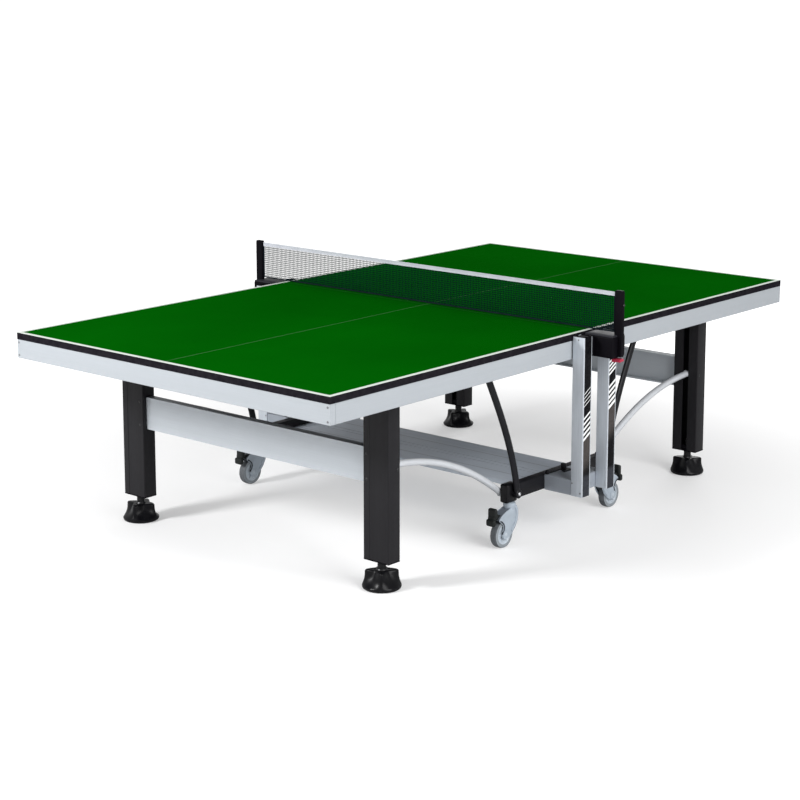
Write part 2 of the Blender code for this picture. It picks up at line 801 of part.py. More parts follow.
def build_half(word, turn, meshes):
    """One half of the table in the frame of its own empty."""
    half = pivot(f"Half_{word}", None, (0.0, 0.0, 0.0))
    half.rotation_euler = (0.0, 0.0, turn)
    sides = (("Near", -1, 0.0), ("Far", 1, math.pi))
    if turn:
        sides = (("Far", -1, 0.0), ("Near", 1, math.pi))

    fold = pivot(f"Fold_Axis_{word}", half, (-POST_X, 0.0, FOLD_HEIGHT))
    hips = pivot(f"Leg_Axis_{word}", fold, (-LEG_HINGE_X, 0.0, LEG_HINGE_Z))
    strut_axis = pivot(f"Strut_Axis_{word}", fold, STRUT_HIGH)
    link_axis = pivot(f"Link_Axis_{word}", hips, LINK_LEG_END)

    place(f"Board_{word}", meshes["board"], fold)
    apron_z = BOARD_BOTTOM - FIT
    end_x = HALF_LENGTH - APRON_THICKNESS / 2
    place(f"End_Apron_{word}", meshes["end_apron"], fold, (-end_x, 0.0, apron_z))
    place(f"Under_Frame_{word}", meshes["under_frame"], fold)
    place(f"Leg_Beam_{word}", meshes["beam"], hips, (-BEAM_OUTER_X, 0.0, 0.0))
    side_x = (APRON_INNER_END + HALF_LENGTH - APRON_THICKNESS - FIT) / 2
    side_y = HALF_WIDTH - APRON_THICKNESS / 2
    slider_y = POST_INNER_FACE + POST_SIZE / 2
    for side_word, side, side_turn in sides:
        name = f"{side_word}_{word}"
        slider = (-POST_X, side * slider_y, FOLD_HEIGHT)
        place(f"Slider_{name}", meshes["slider"], half, slider, side_turn)
        place(f"Side_Apron_{name}", meshes["side_apron"], fold, (-side_x, side * side_y, apron_z))
        leg = Vector((-LEG_X, side * LEG_Y, 0.0))
        place(f"Leg_{name}", meshes["leg"], hips, leg)
        place(f"Foot_{name}", meshes["foot"], hips, leg)
        strut = STRUT_HIGH + Vector((0.0, side * STRUT_Y, 0.0))
        place(f"Strut_{name}", meshes["strut"], strut_axis, strut)
        link = LINK_LEG_END + Vector((0.0, side * LINK_Y, 0.0))
        place(f"Link_{name}", meshes["link"], link_axis, link)


def main():
    clear_scene()
    base = pivot("Base", None, (0.0, 0.0, 0.0))
    build_chassis(base)
    build_casters(base)
    meshes = {
        "board": board_mesh(),
        "end_apron": apron_mesh(TABLE_WIDTH, "Y"),
        "side_apron": apron_mesh(HALF_LENGTH - APRON_THICKNESS - FIT - APRON_INNER_END, "X"),
        "under_frame": under_frame_mesh(),
        "slider": slider_mesh(),
        "leg": leg_mesh(),
        "beam": beam_mesh(),
        "foot": foot_mesh(),
        "strut": strut_mesh(),
        "link": link_mesh(),
    }
    build_half("Left", 0.0, meshes)
    build_half("Right", math.pi, meshes)


main()
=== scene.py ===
"""Looks of the folding table-tennis table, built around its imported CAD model.

Every piece is drawn in the CAD model's frame, in metres, so its own coordinates are its place at
rest. The left half is drawn first, and the right half is the same piece turned half round about Z.
"""

import math

import bmesh
import bpy
from mathutils import Matrix, Vector


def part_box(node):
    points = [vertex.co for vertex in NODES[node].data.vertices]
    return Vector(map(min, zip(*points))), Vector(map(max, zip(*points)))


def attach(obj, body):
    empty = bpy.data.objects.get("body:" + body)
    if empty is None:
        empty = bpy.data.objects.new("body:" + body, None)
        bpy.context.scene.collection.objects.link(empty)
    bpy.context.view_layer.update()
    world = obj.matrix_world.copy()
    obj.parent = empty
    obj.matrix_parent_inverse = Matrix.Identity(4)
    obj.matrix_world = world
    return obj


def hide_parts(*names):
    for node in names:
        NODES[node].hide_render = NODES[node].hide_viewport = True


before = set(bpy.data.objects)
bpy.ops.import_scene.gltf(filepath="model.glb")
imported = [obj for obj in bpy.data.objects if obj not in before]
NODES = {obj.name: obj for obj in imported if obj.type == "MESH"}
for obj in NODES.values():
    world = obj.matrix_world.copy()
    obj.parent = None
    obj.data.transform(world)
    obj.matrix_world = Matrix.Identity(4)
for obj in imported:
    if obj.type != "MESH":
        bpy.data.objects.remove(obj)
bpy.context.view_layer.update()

LEFT, RIGHT = "left", "right"
HALF_TURN = Matrix.Rotation(math.pi, 4, "Z")
ENDS = ((LEFT, -1), (RIGHT, 1))
SIDES = (("near", -1), ("far", 1))


# ---------------------------------------------------------------- sizes read from the CAD model
def span(node):
    low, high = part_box(node)
    return low, high


BOARD_LOW, BOARD_HIGH = span("Board_Left")
APRON_LOW, APRON_HIGH = span("End_Apron_Left")
LEG_LOW, LEG_HIGH = span("Leg_Near_Left")
FOOT_LOW, FOOT_HIGH = span("Foot_Near_Left")
POST_LOW, POST_HIGH = span("Guide_Post_Near_Left")
RAIL_LOW, RAIL_HIGH = span("Side_Rail_Near")
BOX_LOW, BOX_HIGH = span("Side_Box_Near")
NET_LOW, NET_HIGH = span("Net_Mesh")
TAPE_LOW, TAPE_HIGH = span("Net_Tape")
NET_POST_LOW, NET_POST_HIGH = span("Net_Post_Near")
LEVER_LOW, LEVER_HIGH = span("Release_Lever_Near")
WHEEL_LOW, WHEEL_HIGH = span("Caster_Wheel_Near_Left")
FORK_LOW, FORK_HIGH = span("Caster_Fork_Near_Left")
BEAM_LOW, BEAM_HIGH = span("Leg_Beam_Left")
BRIDGE_LOW, BRIDGE_HIGH = span("Bridge_Beam")

FOOT_CENTRE = (FOOT_LOW + FOOT_HIGH) / 2
WHEEL_CENTRE = (WHEEL_LOW + WHEEL_HIGH) / 2
SWIVEL = Vector((-0.290, -0.635, 0.0))


# ---------------------------------------------------------------- materials
class Finish:
    """A procedural material. Positions in it are places on the object at rest, in metres."""

    def __init__(self, name, colour, roughness, metallic=0.0, coat=0.0, coat_roughness=0.1, specular=0.5):
        self.material = bpy.data.materials.new(name)
        self.material.use_nodes = True
        tree = self.material.node_tree
        self.nodes = tree.nodes
        self.links = tree.links
        self.shader = self.nodes["Principled BSDF"]
        self.shader.inputs["Metallic"].default_value = metallic
        self.shader.inputs["Coat Weight"].default_value = coat
        self.shader.inputs["Coat Roughness"].default_value = coat_roughness
        self.shader.inputs["Specular IOR Level"].default_value = specular
        self.colour = (*colour, 1.0)
        self.shader.inputs["Base Color"].default_value = self.colour
        self.shader.inputs["Roughness"].default_value = roughness
        self.place = self.nodes.new("ShaderNodeTexCoord").outputs["Object"]
        parts = self.nodes.new("ShaderNodeSeparateXYZ")
        self.links.new(self.place, parts.inputs[0])
        self.x, self.y, self.z = parts.outputs
        facing = self.nodes.new("ShaderNodeSeparateXYZ")
        self.links.new(self.nodes.new("ShaderNodeTexCoord").outputs["Normal"], facing.inputs[0])
        self.nx, self.ny, self.nz = facing.outputs

    def put(self, socket, value):
        if isinstance(value, (int, float, tuple)):
            socket.default_value = value
        else:
            self.links.new(value, socket)

    def math(self, operation, a, b=0.0, clamp=False):
        node = self.nodes.new("ShaderNodeMath")
        node.operation = operation
        node.use_clamp = clamp
        self.put(node.inputs[0], a)
        self.put(node.inputs[1], b)
        return node.outputs[0]

    def noise(self, scale, detail=2.0, stretch=(1.0, 1.0, 1.0), roughness=0.5):
        scaled = self.nodes.new("ShaderNodeMapping")
        scaled.inputs["Scale"].default_value = stretch
        self.links.new(self.place, scaled.inputs["Vector"])
        node = self.nodes.new("ShaderNodeTexNoise")
        node.inputs["Scale"].default_value = scale
        node.inputs["Detail"].default_value = detail
        node.inputs["Roughness"].default_value = roughness
        self.links.new(scaled.outputs[0], node.inputs["Vector"])
        return node.outputs[0]

    def spread(self, value, low, high, to_low, to_high, smooth=False):
        node = self.nodes.new("ShaderNodeMapRange")
        node.interpolation_type = "SMOOTHSTEP" if smooth else "LINEAR"
        self.put(node.inputs["Value"], value)
        for slot, number in zip(("From Min", "From Max", "To Min", "To Max"), (low, high, to_low, to_high)):
            node.inputs[slot].default_value = number
        return node.outputs[0]

    def within(self, value, low, high):
        return self.math("MULTIPLY", self.math("GREATER_THAN", value, low), self.math("LESS_THAN", value, high))

    def mix(self, share, a, b):
        node = self.nodes.new("ShaderNodeMix")
        node.data_type = "RGBA"
        self.put(node.inputs[0], share)
        self.put(node.inputs[6], a)
        self.put(node.inputs[7], b)
        return node.outputs[2]

    def paint(self, colour):
        self.put(self.shader.inputs["Base Color"], colour)

    def rough(self, value):
        self.put(self.shader.inputs["Roughness"], value)

    def bump(self, height, depth, strength=1.0):
        node = self.nodes.new("ShaderNodeBump")
        node.inputs["Strength"].default_value = strength
        node.inputs["Distance"].default_value = depth
        self.links.new(height, node.inputs["Height"])
        self.links.new(node.outputs[0], self.shader.inputs["Normal"])


def shade(colour, factor):
    return tuple(min(1.0, channel * factor) for channel in colour[:3]) + (1.0,)


def grained(name, colour, roughness, grain, depth, spread=0.12, **more):
    """A moulded or powder-coated skin: fine grain, faint clouds and dusty, rougher patches."""
    made = Finish(name, colour, roughness, **more)
    clouds = made.noise(7.0, 4.0)
    made.paint(made.mix(made.spread(clouds, 0.35, 0.65, 0.0, 1.0), shade(colour, 0.86), shade(colour, 1.16)))
    made.rough(made.spread(made.noise(38.0, 5.0), 0.3, 0.7, roughness - spread / 2, roughness + spread / 2))
    made.bump(made.noise(grain, 3.0), depth)
    return made.material


def brushed(name, colour, roughness, metallic, stretch, depth=0.00006, streak=0.10, painted_groove_shade_at=(), **more):
    """Drawn and anodised metal: long fine lines along the profile, with handling marks.

    Painted shade darkens the grooves that run at the given distances to either side of the middle.
    """
    made = Finish(name, colour, roughness, metallic, **more)
    lines = made.noise(420.0, 3.0, stretch)
    wide = made.noise(30.0, 3.0, stretch)
    clouds = made.noise(3.0, 3.0)
    tone = made.math("ADD", made.math("MULTIPLY", lines, 0.45), made.math("MULTIPLY", wide, 0.35))
    tone = made.math("ADD", tone, made.math("MULTIPLY", clouds, 0.20))
    skin = made.mix(made.spread(tone, 0.35, 0.65, 0.0, 1.0), shade(colour, 1 - streak), shade(colour, 1 + streak))
    # painted shade: a dark line along each groove, where shade falls in it
    for at in painted_groove_shade_at:
        off = made.math("ABSOLUTE", made.math("SUBTRACT", made.math("ABSOLUTE", made.x), at))
        skin = made.mix(made.spread(off, 0.0012, 0.0026, 0.62, 0.0), skin, shade(colour, 0.25))
    made.paint(skin)
    scuffs = made.noise(55.0, 6.0, roughness=0.7)
    made.rough(made.spread(scuffs, 0.3, 0.75, roughness - 0.06, roughness + 0.12))
    made.bump(lines, depth)
    return made.material


def board_finish():
    """Matt-gloss green paint with white border lines, a fine centre line and a black edge band."""
    green = (0.0006, 0.088, 0.0012)
    made = Finish("Board_Paint", green, 0.42, metallic=0.18, specular=0.0)
    made.shader.inputs["Specular Tint"].default_value = (0.02, 0.12, 0.02, 1.0)
    clouds = made.noise(1.6, 3.0)
    speckle = made.noise(900.0, 2.0)
    tone = made.math("ADD", made.math("MULTIPLY", clouds, 0.75), made.math("MULTIPLY", speckle, 0.25))
    field = made.mix(made.spread(tone, 0.35, 0.65, 0.0, 1.0), shade(green, 0.90), shade(green, 1.10))
    wobble = made.spread(made.noise(240.0, 2.0), 0.0, 1.0, -0.00025, 0.00025)
    across = made.math("ADD", made.math("ABSOLUTE", made.y), wobble)
    along = made.math("ADD", made.math("ABSOLUTE", made.x), wobble)
    border = made.math(
        "MAXIMUM",
        made.spread(across, BOARD_HIGH.y - 0.0152, BOARD_HIGH.y - 0.0148, 0.0, 1.0),
        made.spread(along, -BOARD_LOW.x - 0.0152, -BOARD_LOW.x - 0.0148, 0.0, 1.0),
    )
    centre = made.spread(across, 0.0012, 0.0016, 0.13, 0.0)
    lined = made.mix(made.math("MAXIMUM", border, centre), field, (0.62, 0.66, 0.62, 1.0))
    below = made.spread(made.z, BOARD_HIGH.z - 0.0012, BOARD_HIGH.z - 0.0008, 1.0, 0.0)
    edge_tone = made.spread(made.noise(60.0, 4.0), 0.3, 0.7, 0.0, 1.0)
    edge = made.mix(edge_tone, (0.010, 0.009, 0.012, 1.0), (0.019, 0.017, 0.021, 1.0))
    made.paint(made.mix(below, lined, edge))
    scuff = made.spread(made.noise(26.0, 6.0, roughness=0.65), 0.35, 0.7, 0.40, 0.50)
    made.rough(scuff)
    made.bump(made.math("ADD", speckle, made.math("MULTIPLY", made.noise(160.0, 2.0), 1.4)), 0.00012)
    return made.material


def decal_finish():
    """Silver anodised post whose outward face carries a black film with generic slanted stripes."""
    silver = (0.55, 0.59, 0.64)
    made = Finish("Post_Anodised_Film", silver, 0.38, specular=0.3)
    lines = made.noise(420.0, 3.0, (1.0, 1.0, 0.02))
    metal = made.mix(made.spread(lines, 0.35, 0.65, 0.0, 1.0), shade(silver, 0.93), shade(silver, 1.07))
    out = made.spread(made.math("ABSOLUTE", made.y), -POST_LOW.y - 0.0006, -POST_LOW.y - 0.0004, 0.0, 1.0)
    middle = -(POST_LOW.x + POST_HIGH.x) / 2
    off = made.math("ABSOLUTE", made.math("SUBTRACT", made.math("ABSOLUTE", made.x), middle))
    strip = made.math("MULTIPLY", out, made.spread(off, 0.0200, 0.0204, 1.0, 0.0))
    outward = made.math("SIGN", made.y)
    slant = made.math("ADD", made.math("MULTIPLY", made.math("MULTIPLY", made.x, outward), 0.58), made.z)
    lean = made.math("MULTIPLY", made.math("MULTIPLY", made.x, outward), -1.0)
    fine = made.math("FRACT", made.math("DIVIDE", slant, 0.0150))
    bold = made.math("FRACT", made.math("DIVIDE", slant, 0.0195))
    upper = made.math("LESS_THAN", fine, made.spread(lean, -0.03, 0.03, 0.18, 0.50))
    lower = made.math("LESS_THAN", bold, made.math("SUBTRACT", made.spread(slant, 0.42, 0.52, 0.64, 0.46), made.spread(lean, -0.03, 0.03, 0.10, 0.0)))
    shown = made.math(
        "ADD",
        made.math("MULTIPLY", upper, made.within(slant, 0.555, 0.615)),
        made.math("MULTIPLY", lower, made.within(slant, 0.429, 0.526)),
    )
    fade = made.math(
        "MULTIPLY",
        made.spread(slant, 0.29, 0.36, 0.0, 1.0, smooth=True),
        made.spread(slant, 0.426, 0.430, 1.0, 0.0),
    )
    film = made.mix(fade, (0.006, 0.006, 0.007, 1.0), (0.060, 0.053, 0.051, 1.0))
    low = made.spread(made.z, 0.236, 0.250, 1.0, 0.0)
    film = made.mix(low, film, (0.034, 0.036, 0.043, 1.0))
    film = made.mix(shown, film, (0.78, 0.79, 0.79, 1.0))
    made.paint(made.mix(strip, metal, film))
    dull = made.spread(made.noise(50.0, 5.0), 0.3, 0.7, 0.33, 0.46)
    made.rough(made.math("SUBTRACT", dull, made.math("MULTIPLY", strip, 0.12)))
    made.put(made.shader.inputs["Metallic"], made.spread(strip, 0.0, 1.0, 0.35, 0.0))
    made.put(made.shader.inputs["Specular IOR Level"], made.spread(strip, 0.0, 1.0, 0.30, 0.03))
    made.bump(lines, 0.00005)
    return made.material


def thread_finish():
    """Twisted green-black net cord."""
    made = Finish("Net_Cord", (0.006, 0.016, 0.016), 0.85, specular=0.0)
    twist = made.math("SINE", made.math("MULTIPLY", made.math("ADD", made.math("ADD", made.x, made.y), made.z), 5200.0))
    tone = made.spread(made.math("ADD", twist, made.noise(800.0, 2.0)), -0.5, 1.5, 0.0, 1.0)
    made.paint(made.mix(tone, (0.001, 0.007, 0.009, 1.0), (0.005, 0.016, 0.018, 1.0)))
    made.bump(twist, 0.00008)
    return made.material


def tape_finish(name, light, dark):
    """Plain-woven cotton tape: warp and weft at a third of a millimetre, and two sewn rows."""
    made = Finish(name, light, 0.82, specular=0.05)
    warp = made.math("SINE", made.math("MULTIPLY", made.y, 2 * math.pi / 0.00075))
    weft = made.math("SINE", made.math("MULTIPLY", made.z, 2 * math.pi / 0.00075))
    weave = made.math("MULTIPLY", warp, weft)
    stains = made.noise(18.0, 5.0)
    tone = made.math("ADD", made.math("MULTIPLY", weave, 0.12), made.spread(stains, 0.3, 0.7, 0.0, 1.0))
    made.paint(made.mix(made.spread(tone, 0.0, 1.0, 0.0, 1.0), (*dark, 1.0), (*light, 1.0)))
    made.bump(weave, 0.00010)
    return made.material


def tyre_finish():
    """Grey rubber tread, worn lighter and dusty, on a cleaner side wall."""
    made = Finish("Tyre_Rubber", (0.16, 0.18, 0.19), 0.62)
    dust = made.spread(made.noise(70.0, 5.0), 0.35, 0.7, 0.0, 1.0)
    grit = made.noise(1500.0, 2.0)
    tread = made.mix(dust, (0.085, 0.093, 0.103, 1.0), (0.125, 0.137, 0.150, 1.0))
    wall = made.mix(dust, (0.205, 0.228, 0.248, 1.0), (0.262, 0.287, 0.310, 1.0))
    half = (WHEEL_HIGH.y - WHEEL_LOW.y) / 2
    off = made.math("ABSOLUTE", made.math("SUBTRACT", made.math("ABSOLUTE", made.y), -WHEEL_CENTRE.y))
    made.paint(made.mix(made.spread(off, half - 0.0016, half - 0.0008, 0.0, 1.0), tread, wall))
    made.rough(made.spread(dust, 0.0, 1.0, 0.55, 0.75))
    made.bump(made.math("ADD", grit, dust), 0.00010)
    return made.material


def foot_finish():
    """Glossy black rubber that turns grey and scuffed at its lower rim."""
    made = Finish("Foot_Rubber", (0.008, 0.008, 0.009), 0.30, specular=0.13)
    low = made.spread(made.z, 0.002, 0.016, 1.0, 0.0)
    marks = made.math("MULTIPLY", low, made.spread(made.noise(90.0, 3.0), 0.50, 0.75, 0.0, 0.35))
    clouds = made.spread(made.noise(25.0, 4.0), 0.35, 0.65, 0.0, 1.0)
    base = made.mix(clouds, (0.003, 0.003, 0.004, 1.0), (0.006, 0.006, 0.007, 1.0))
    made.paint(made.mix(marks, base, (0.055, 0.055, 0.06, 1.0)))
    made.rough(made.math("ADD", made.spread(clouds, 0.0, 1.0, 0.28, 0.32), made.math("MULTIPLY", marks, 0.2)))
    made.bump(made.noise(1300.0, 2.0), 0.00001)
    return made.material


def polished_finish():
    """Polished silver tube with hairlines and a few dull rub marks."""
    made = Finish("Link_Polished", (0.58, 0.60, 0.63), 0.33, metallic=0.20)
    hair = made.noise(500.0, 2.0, (0.08, 1.0, 0.08))
    rubs = made.spread(made.noise(14.0, 3.0), 0.5, 0.72, 0.0, 1.0)
    made.paint(made.mix(rubs, (0.59, 0.61, 0.64, 1.0), (0.56, 0.58, 0.61, 1.0)))
    made.rough(made.math("ADD", made.spread(hair, 0.3, 0.7, 0.31, 0.35), made.math("MULTIPLY", rubs, 0.03)))
    made.bump(hair, 0.000002)
    return made.material


BOARD = board_finish()
APRON = brushed("Apron_Lacquer", (0.385, 0.412, 0.440), 0.45, 0.15, (0.02, 0.02, 1.0), streak=0.035)
BEAM = brushed("Beam_Anodised", (0.50, 0.535, 0.57), 0.42, 0.30, (1.0, 0.02, 1.0), streak=0.05)
# the bridge carries painted shade along its grooves
BRIDGE = brushed("Bridge_Anodised", (0.60, 0.66, 0.74), 0.45, 0.10, (1.0, 0.02, 1.0), streak=0.07, painted_groove_shade_at=(0.015, 0.086))
BOX = brushed("Box_Anodised", (0.33, 0.36, 0.405), 0.42, 0.3, (0.02, 1.0, 1.0), streak=0.05)
LEG = brushed("Leg_Anodised", (0.012, 0.0115, 0.0135), 0.38, 0.15, (1.0, 1.0, 0.015), streak=0.18, specular=0.20)
STEEL = grained("Powder_Coat", (0.006, 0.006, 0.008), 0.42, 1100.0, 0.00008, specular=0.20)
HOUSING = grained("Housing_Plastic", (0.004, 0.004, 0.005), 0.30, 900.0, 0.00003, spread=0.08, specular=0.20)
PLASTIC = grained("Bracket_Plastic", (0.0035, 0.003, 0.0045), 0.46, 1300.0, 0.00005, specular=0.04)
PEDAL = grained("Pedal_Plastic", (0.012, 0.014, 0.014), 0.46, 1300.0, 0.00005, specular=0.22)
PLATE = grained("Bracket_Plate", (0.022, 0.022, 0.027), 0.44, 1300.0, 0.00004, specular=0.08)
CASTER = grained("Caster_Plastic", (0.345, 0.395, 0.45), 0.36, 1200.0, 0.00004)
# painted shade: the caster plastic darkened, for the shade on the hood's sloping top
HOOD_SHADE_PAINTED = grained("Hood_Plastic_Painted_Shade", (0.135, 0.155, 0.185), 0.42, 1200.0, 0.00004, specular=0.3)
# painted shade: dark strips standing for the shaded gap behind each cheek's trailing edge
SLOT_SHADE = grained("Slot_Painted_Shade", (0.020, 0.024, 0.032), 0.55, 1200.0, 0.00004, specular=0.2)
HUB = grained("Hub_Plastic", (0.43, 0.48, 0.53), 0.42, 1200.0, 0.00004)
RED = grained("Lever_Plastic", (0.31, 0.010, 0.036), 0.36, 1100.0, 0.00004)
BOLT = grained("Bolt_Zinc", (0.62, 0.63, 0.65), 0.30, 1800.0, 0.00003, metallic=0.85)
SCREW = grained("Screw_Steel", (0.20, 0.205, 0.215), 0.34, 1800.0, 0.00003, metallic=0.3)
DARK_BOLT = grained("Bolt_Black", (0.03, 0.03, 0.032), 0.38, 1800.0, 0.00003, metallic=0.5)
POST = decal_finish()
CORD = thread_finish()
TAPE = tape_finish("Tape_Cotton", (0.50, 0.515, 0.56), (0.43, 0.445, 0.49))
HEM = tape_finish("Hem_Cotton", (0.008, 0.014, 0.020), (0.003, 0.007, 0.010))
TYRE = tyre_finish()
FOOT = foot_finish()
POLISHED = polished_finish()


# ---------------------------------------------------------------- shapes
def block(low, high, edge=0.001, segments=2):
    """A box with rounded edges."""
    low, high = Vector(low), Vector(high)
    made = bmesh.new()
    bmesh.ops.create_cube(made, size=1.0)
    bmesh.ops.scale(made, vec=high - low, verts=made.verts)
    bmesh.ops.translate(made, vec=(high + low) / 2, verts=made.verts)
    if edge:
        bmesh.ops.bevel(made, geom=made.edges[:], offset=edge, segments=segments, profile=0.5, affect="EDGES")
    return made


AXIS_MAPS = {
    "X": Matrix(((0, 0, 1, 0), (1, 0, 0, 0), (0, 1, 0, 0), (0, 0, 0, 1))),
    "Y": Matrix(((1, 0, 0, 0), (0, 0, -1, 0), (0, 1, 0, 0), (0, 0, 0, 1))),
    "Z": Matrix.Identity(4),
}


def prism(outline, low, high, axis="Z", edge=0.0, segments=2):
    """A flat outline pulled along an axis. On Z the outline is in XY, on X in YZ, on Y in XZ."""
    made = bmesh.new()
    ring = [made.verts.new((a, b, 0.0)) for a, b in outline]
    face = made.faces.new(ring)
    top = bmesh.ops.extrude_face_region(made, geom=[face])
    lifted = [item for item in top["geom"] if isinstance(item, bmesh.types.BMVert)]
    reach = high - low
    bmesh.ops.translate(made, vec=(0.0, 0.0, reach), verts=lifted)
    start = low
    if axis == "Y":
        start = -high
    bmesh.ops.translate(made, vec=(0.0, 0.0, start), verts=made.verts)
    bmesh.ops.transform(made, matrix=AXIS_MAPS[axis], verts=made.verts)
    bmesh.ops.recalc_face_normals(made, faces=made.faces)
    if edge:
        caps = [e for e in made.edges if any(len(f.verts) > 4 for f in e.link_faces)]
        bmesh.ops.bevel(made, geom=caps, offset=edge, segments=segments, profile=0.5, affect="EDGES")
    return made


def lathe(profile, centre=(0.0, 0.0, 0.0), axis="Z", steps=40, lobes=None):
    """A turned shape about an axis; the profile is (radius, height) from top to bottom."""
    made = bmesh.new()
    rings = []
    for radius, height in profile:
        if radius <= 0.0:
            rings.append([made.verts.new((0.0, 0.0, height))])
            continue
        ring = []
        for i in range(steps):
            angle = 2 * math.pi * i / steps
            reach = radius if lobes is None else radius * lobes(angle, height)
            ring.append(made.verts.new((reach * math.cos(angle), reach * math.sin(angle), height)))
        rings.append(ring)
    for upper, lower in zip(rings, rings[1:]):
        for i in range(steps):
            j = (i + 1) % steps
            corners = [upper[i % len(upper)], lower[i % len(lower)], lower[j % len(lower)], upper[j % len(upper)]]
            unique = list(dict.fromkeys(corners))
            if len(unique) > 2:
                made.faces.new(unique)
    turn = {"X": Matrix.Rotation(math.pi / 2, 4, "Y"), "Y": Matrix.Rotation(-math.pi / 2, 4, "X"), "Z": Matrix()}[axis]
    bmesh.ops.transform(made, matrix=Matrix.Translation(Vector(centre)) @ turn, verts=made.verts)
    bmesh.ops.recalc_face_normals(made, faces=made.faces)
    return made


def sweep(points, wide, thick, steps=20):
    """An oval bar along points in a plane of constant Y, with flat ends."""
    made = bmesh.new()
    rings = []
    count = len(points)
    for i, point in enumerate(points):
        ahead = (points[min(i + 1, count - 1)] - points[max(i - 1, 0)]).normalized()
        side = Vector((-ahead.z, 0.0, ahead.x))
        ring = []
        for k in range(steps):
            angle = 2 * math.pi * k / steps
            ring.append(made.verts.new(point + side * wide * math.cos(angle) + Vector((0, thick * math.sin(angle), 0))))
        rings.append(ring)
    for first, second in zip(rings, rings[1:]):
        for k in range(steps):
            j = (k + 1) % steps
            made.faces.new((first[k], first[j], second[j], second[k]))
    for ring in (rings[0], rings[-1]):
        made.faces.new(ring)
    bmesh.ops.recalc_face_normals(made, faces=made.faces)
    return made


def bow(start, start_lean, end, end_lean, handle, steps=48):
    """Points on a smooth bow between two ends with given leans."""
    first, second = start + start_lean * handle, end + end_lean * handle
    points = []
    for i in range(steps + 1):
        t = i / steps
        s = 1.0 - t
        points.append(start * s**3 + first * 3 * s * s * t + second * 3 * s * t * t + end * t**3)
    return points


def arc(centre, radius, start, end, count):
    points = []
    for i in range(count + 1):
        angle = math.radians(start + (end - start) * i / count)
        points.append((centre[0] + radius * math.cos(angle), centre[1] + radius * math.sin(angle)))
    return points


def merged(*shapes):
    """One bmesh holding all the given ones."""
    total = bmesh.new()
    for shape in shapes:
        mesh = bpy.data.meshes.new("part")
        shape.to_mesh(mesh)
        shape.free()
        total.from_mesh(mesh)
        bpy.data.meshes.remove(mesh)
    return total


def moved(shape, matrix):
    bmesh.ops.transform(shape, matrix=matrix, verts=shape.verts)
    if matrix.determinant() < 0:
        bmesh.ops.reverse_faces(shape, faces=shape.faces)
    return shape


def piece(name, shape, finish, body, nodes=(), angle=35.0, subdivide=0):
    """A shown piece that rides on a CAD body and may stand for some CAD nodes."""
    mesh = bpy.data.meshes.new(name)
    shape.to_mesh(mesh)
    shape.free()
    mesh.materials.append(finish)
    mesh.shade_smooth()
    mesh.set_sharp_from_angle(angle=math.radians(angle))
    made = bpy.data.objects.new(name, mesh)
    bpy.context.scene.collection.objects.link(made)
    if subdivide:
        smooth = made.modifiers.new("Smooth", "SUBSURF")
        smooth.levels = subdivide
        smooth.render_levels = subdivide
    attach(made, body)
    if nodes:
        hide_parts(*nodes)
    return made


def screw_head(centre, direction, radius=0.004, height=0.0015):
    """A domed screw head with a socket, standing on a face and looking along a direction."""
    profile = [(0.0, height * 0.35), (radius * 0.42, height * 0.35), (radius * 0.46, height)]
    profile += [(radius * 0.75, height * 0.92), (radius * 0.95, height * 0.55), (radius, 0.0), (radius, -0.001), (0.0, -0.001)]
    made = lathe(profile, steps=20)
    turn = Vector(direction).to_track_quat("Z", "Y").to_matrix().to_4x4()
    return moved(made, Matrix.Translation(Vector(centre)) @ turn)


def word(*parts):
    return "_".join(part.capitalize() for part in parts)


def quarter(side, end):
    """The transform from the near-left corner to the corner at that side and end."""
    return Matrix.Diagonal((float(-end), float(-side), 1.0, 1.0))


def repaint(node, finish, bevel=0.0):
    """Give a CAD node its finish, and soften its edges."""
    target = NODES[node]
    for slot in target.material_slots:
        slot.material = finish
    if bevel:
        soft = target.modifiers.new("Soft", "BEVEL")
        soft.width = bevel
        soft.segments = 2
        soft.limit_method = "ANGLE"
        soft.angle_limit = math.radians(40)
        soft.harden_normals = False


# ---------------------------------------------------------------- tops
def make_tops():
    for end, sign in ENDS:
        cap = end.capitalize()
        body = f"top_{end}"
        repaint(f"Board_{cap}", BOARD, 0.0006)
        repaint(f"End_Apron_{cap}", APRON)
        repaint(f"Side_Apron_Near_{cap}", APRON)
        repaint(f"Side_Apron_Far_{cap}", APRON)
        repaint(f"Under_Frame_{cap}", STEEL, 0.0008)
        heads = []
        face = APRON_LOW.x
        for side in (-1, 1):
            y = side * (APRON_HIGH.y - 0.010)
            for z in (APRON_LOW.z + 0.011, APRON_HIGH.z - 0.011):
                heads.append(screw_head((face, y, z), (-1, 0, 0), 0.0042, 0.0012))
            wall = side * APRON_HIGH.y
            for z in (APRON_LOW.z + 0.011, APRON_HIGH.z - 0.011):
                heads.append(screw_head((-0.045, wall, z), (0, side, 0), 0.0042, 0.0012))
        shape = merged(*heads)
        if sign > 0:
            moved(shape, HALF_TURN)
        piece(f"Apron_Screws_{cap}", shape, SCREW, body)


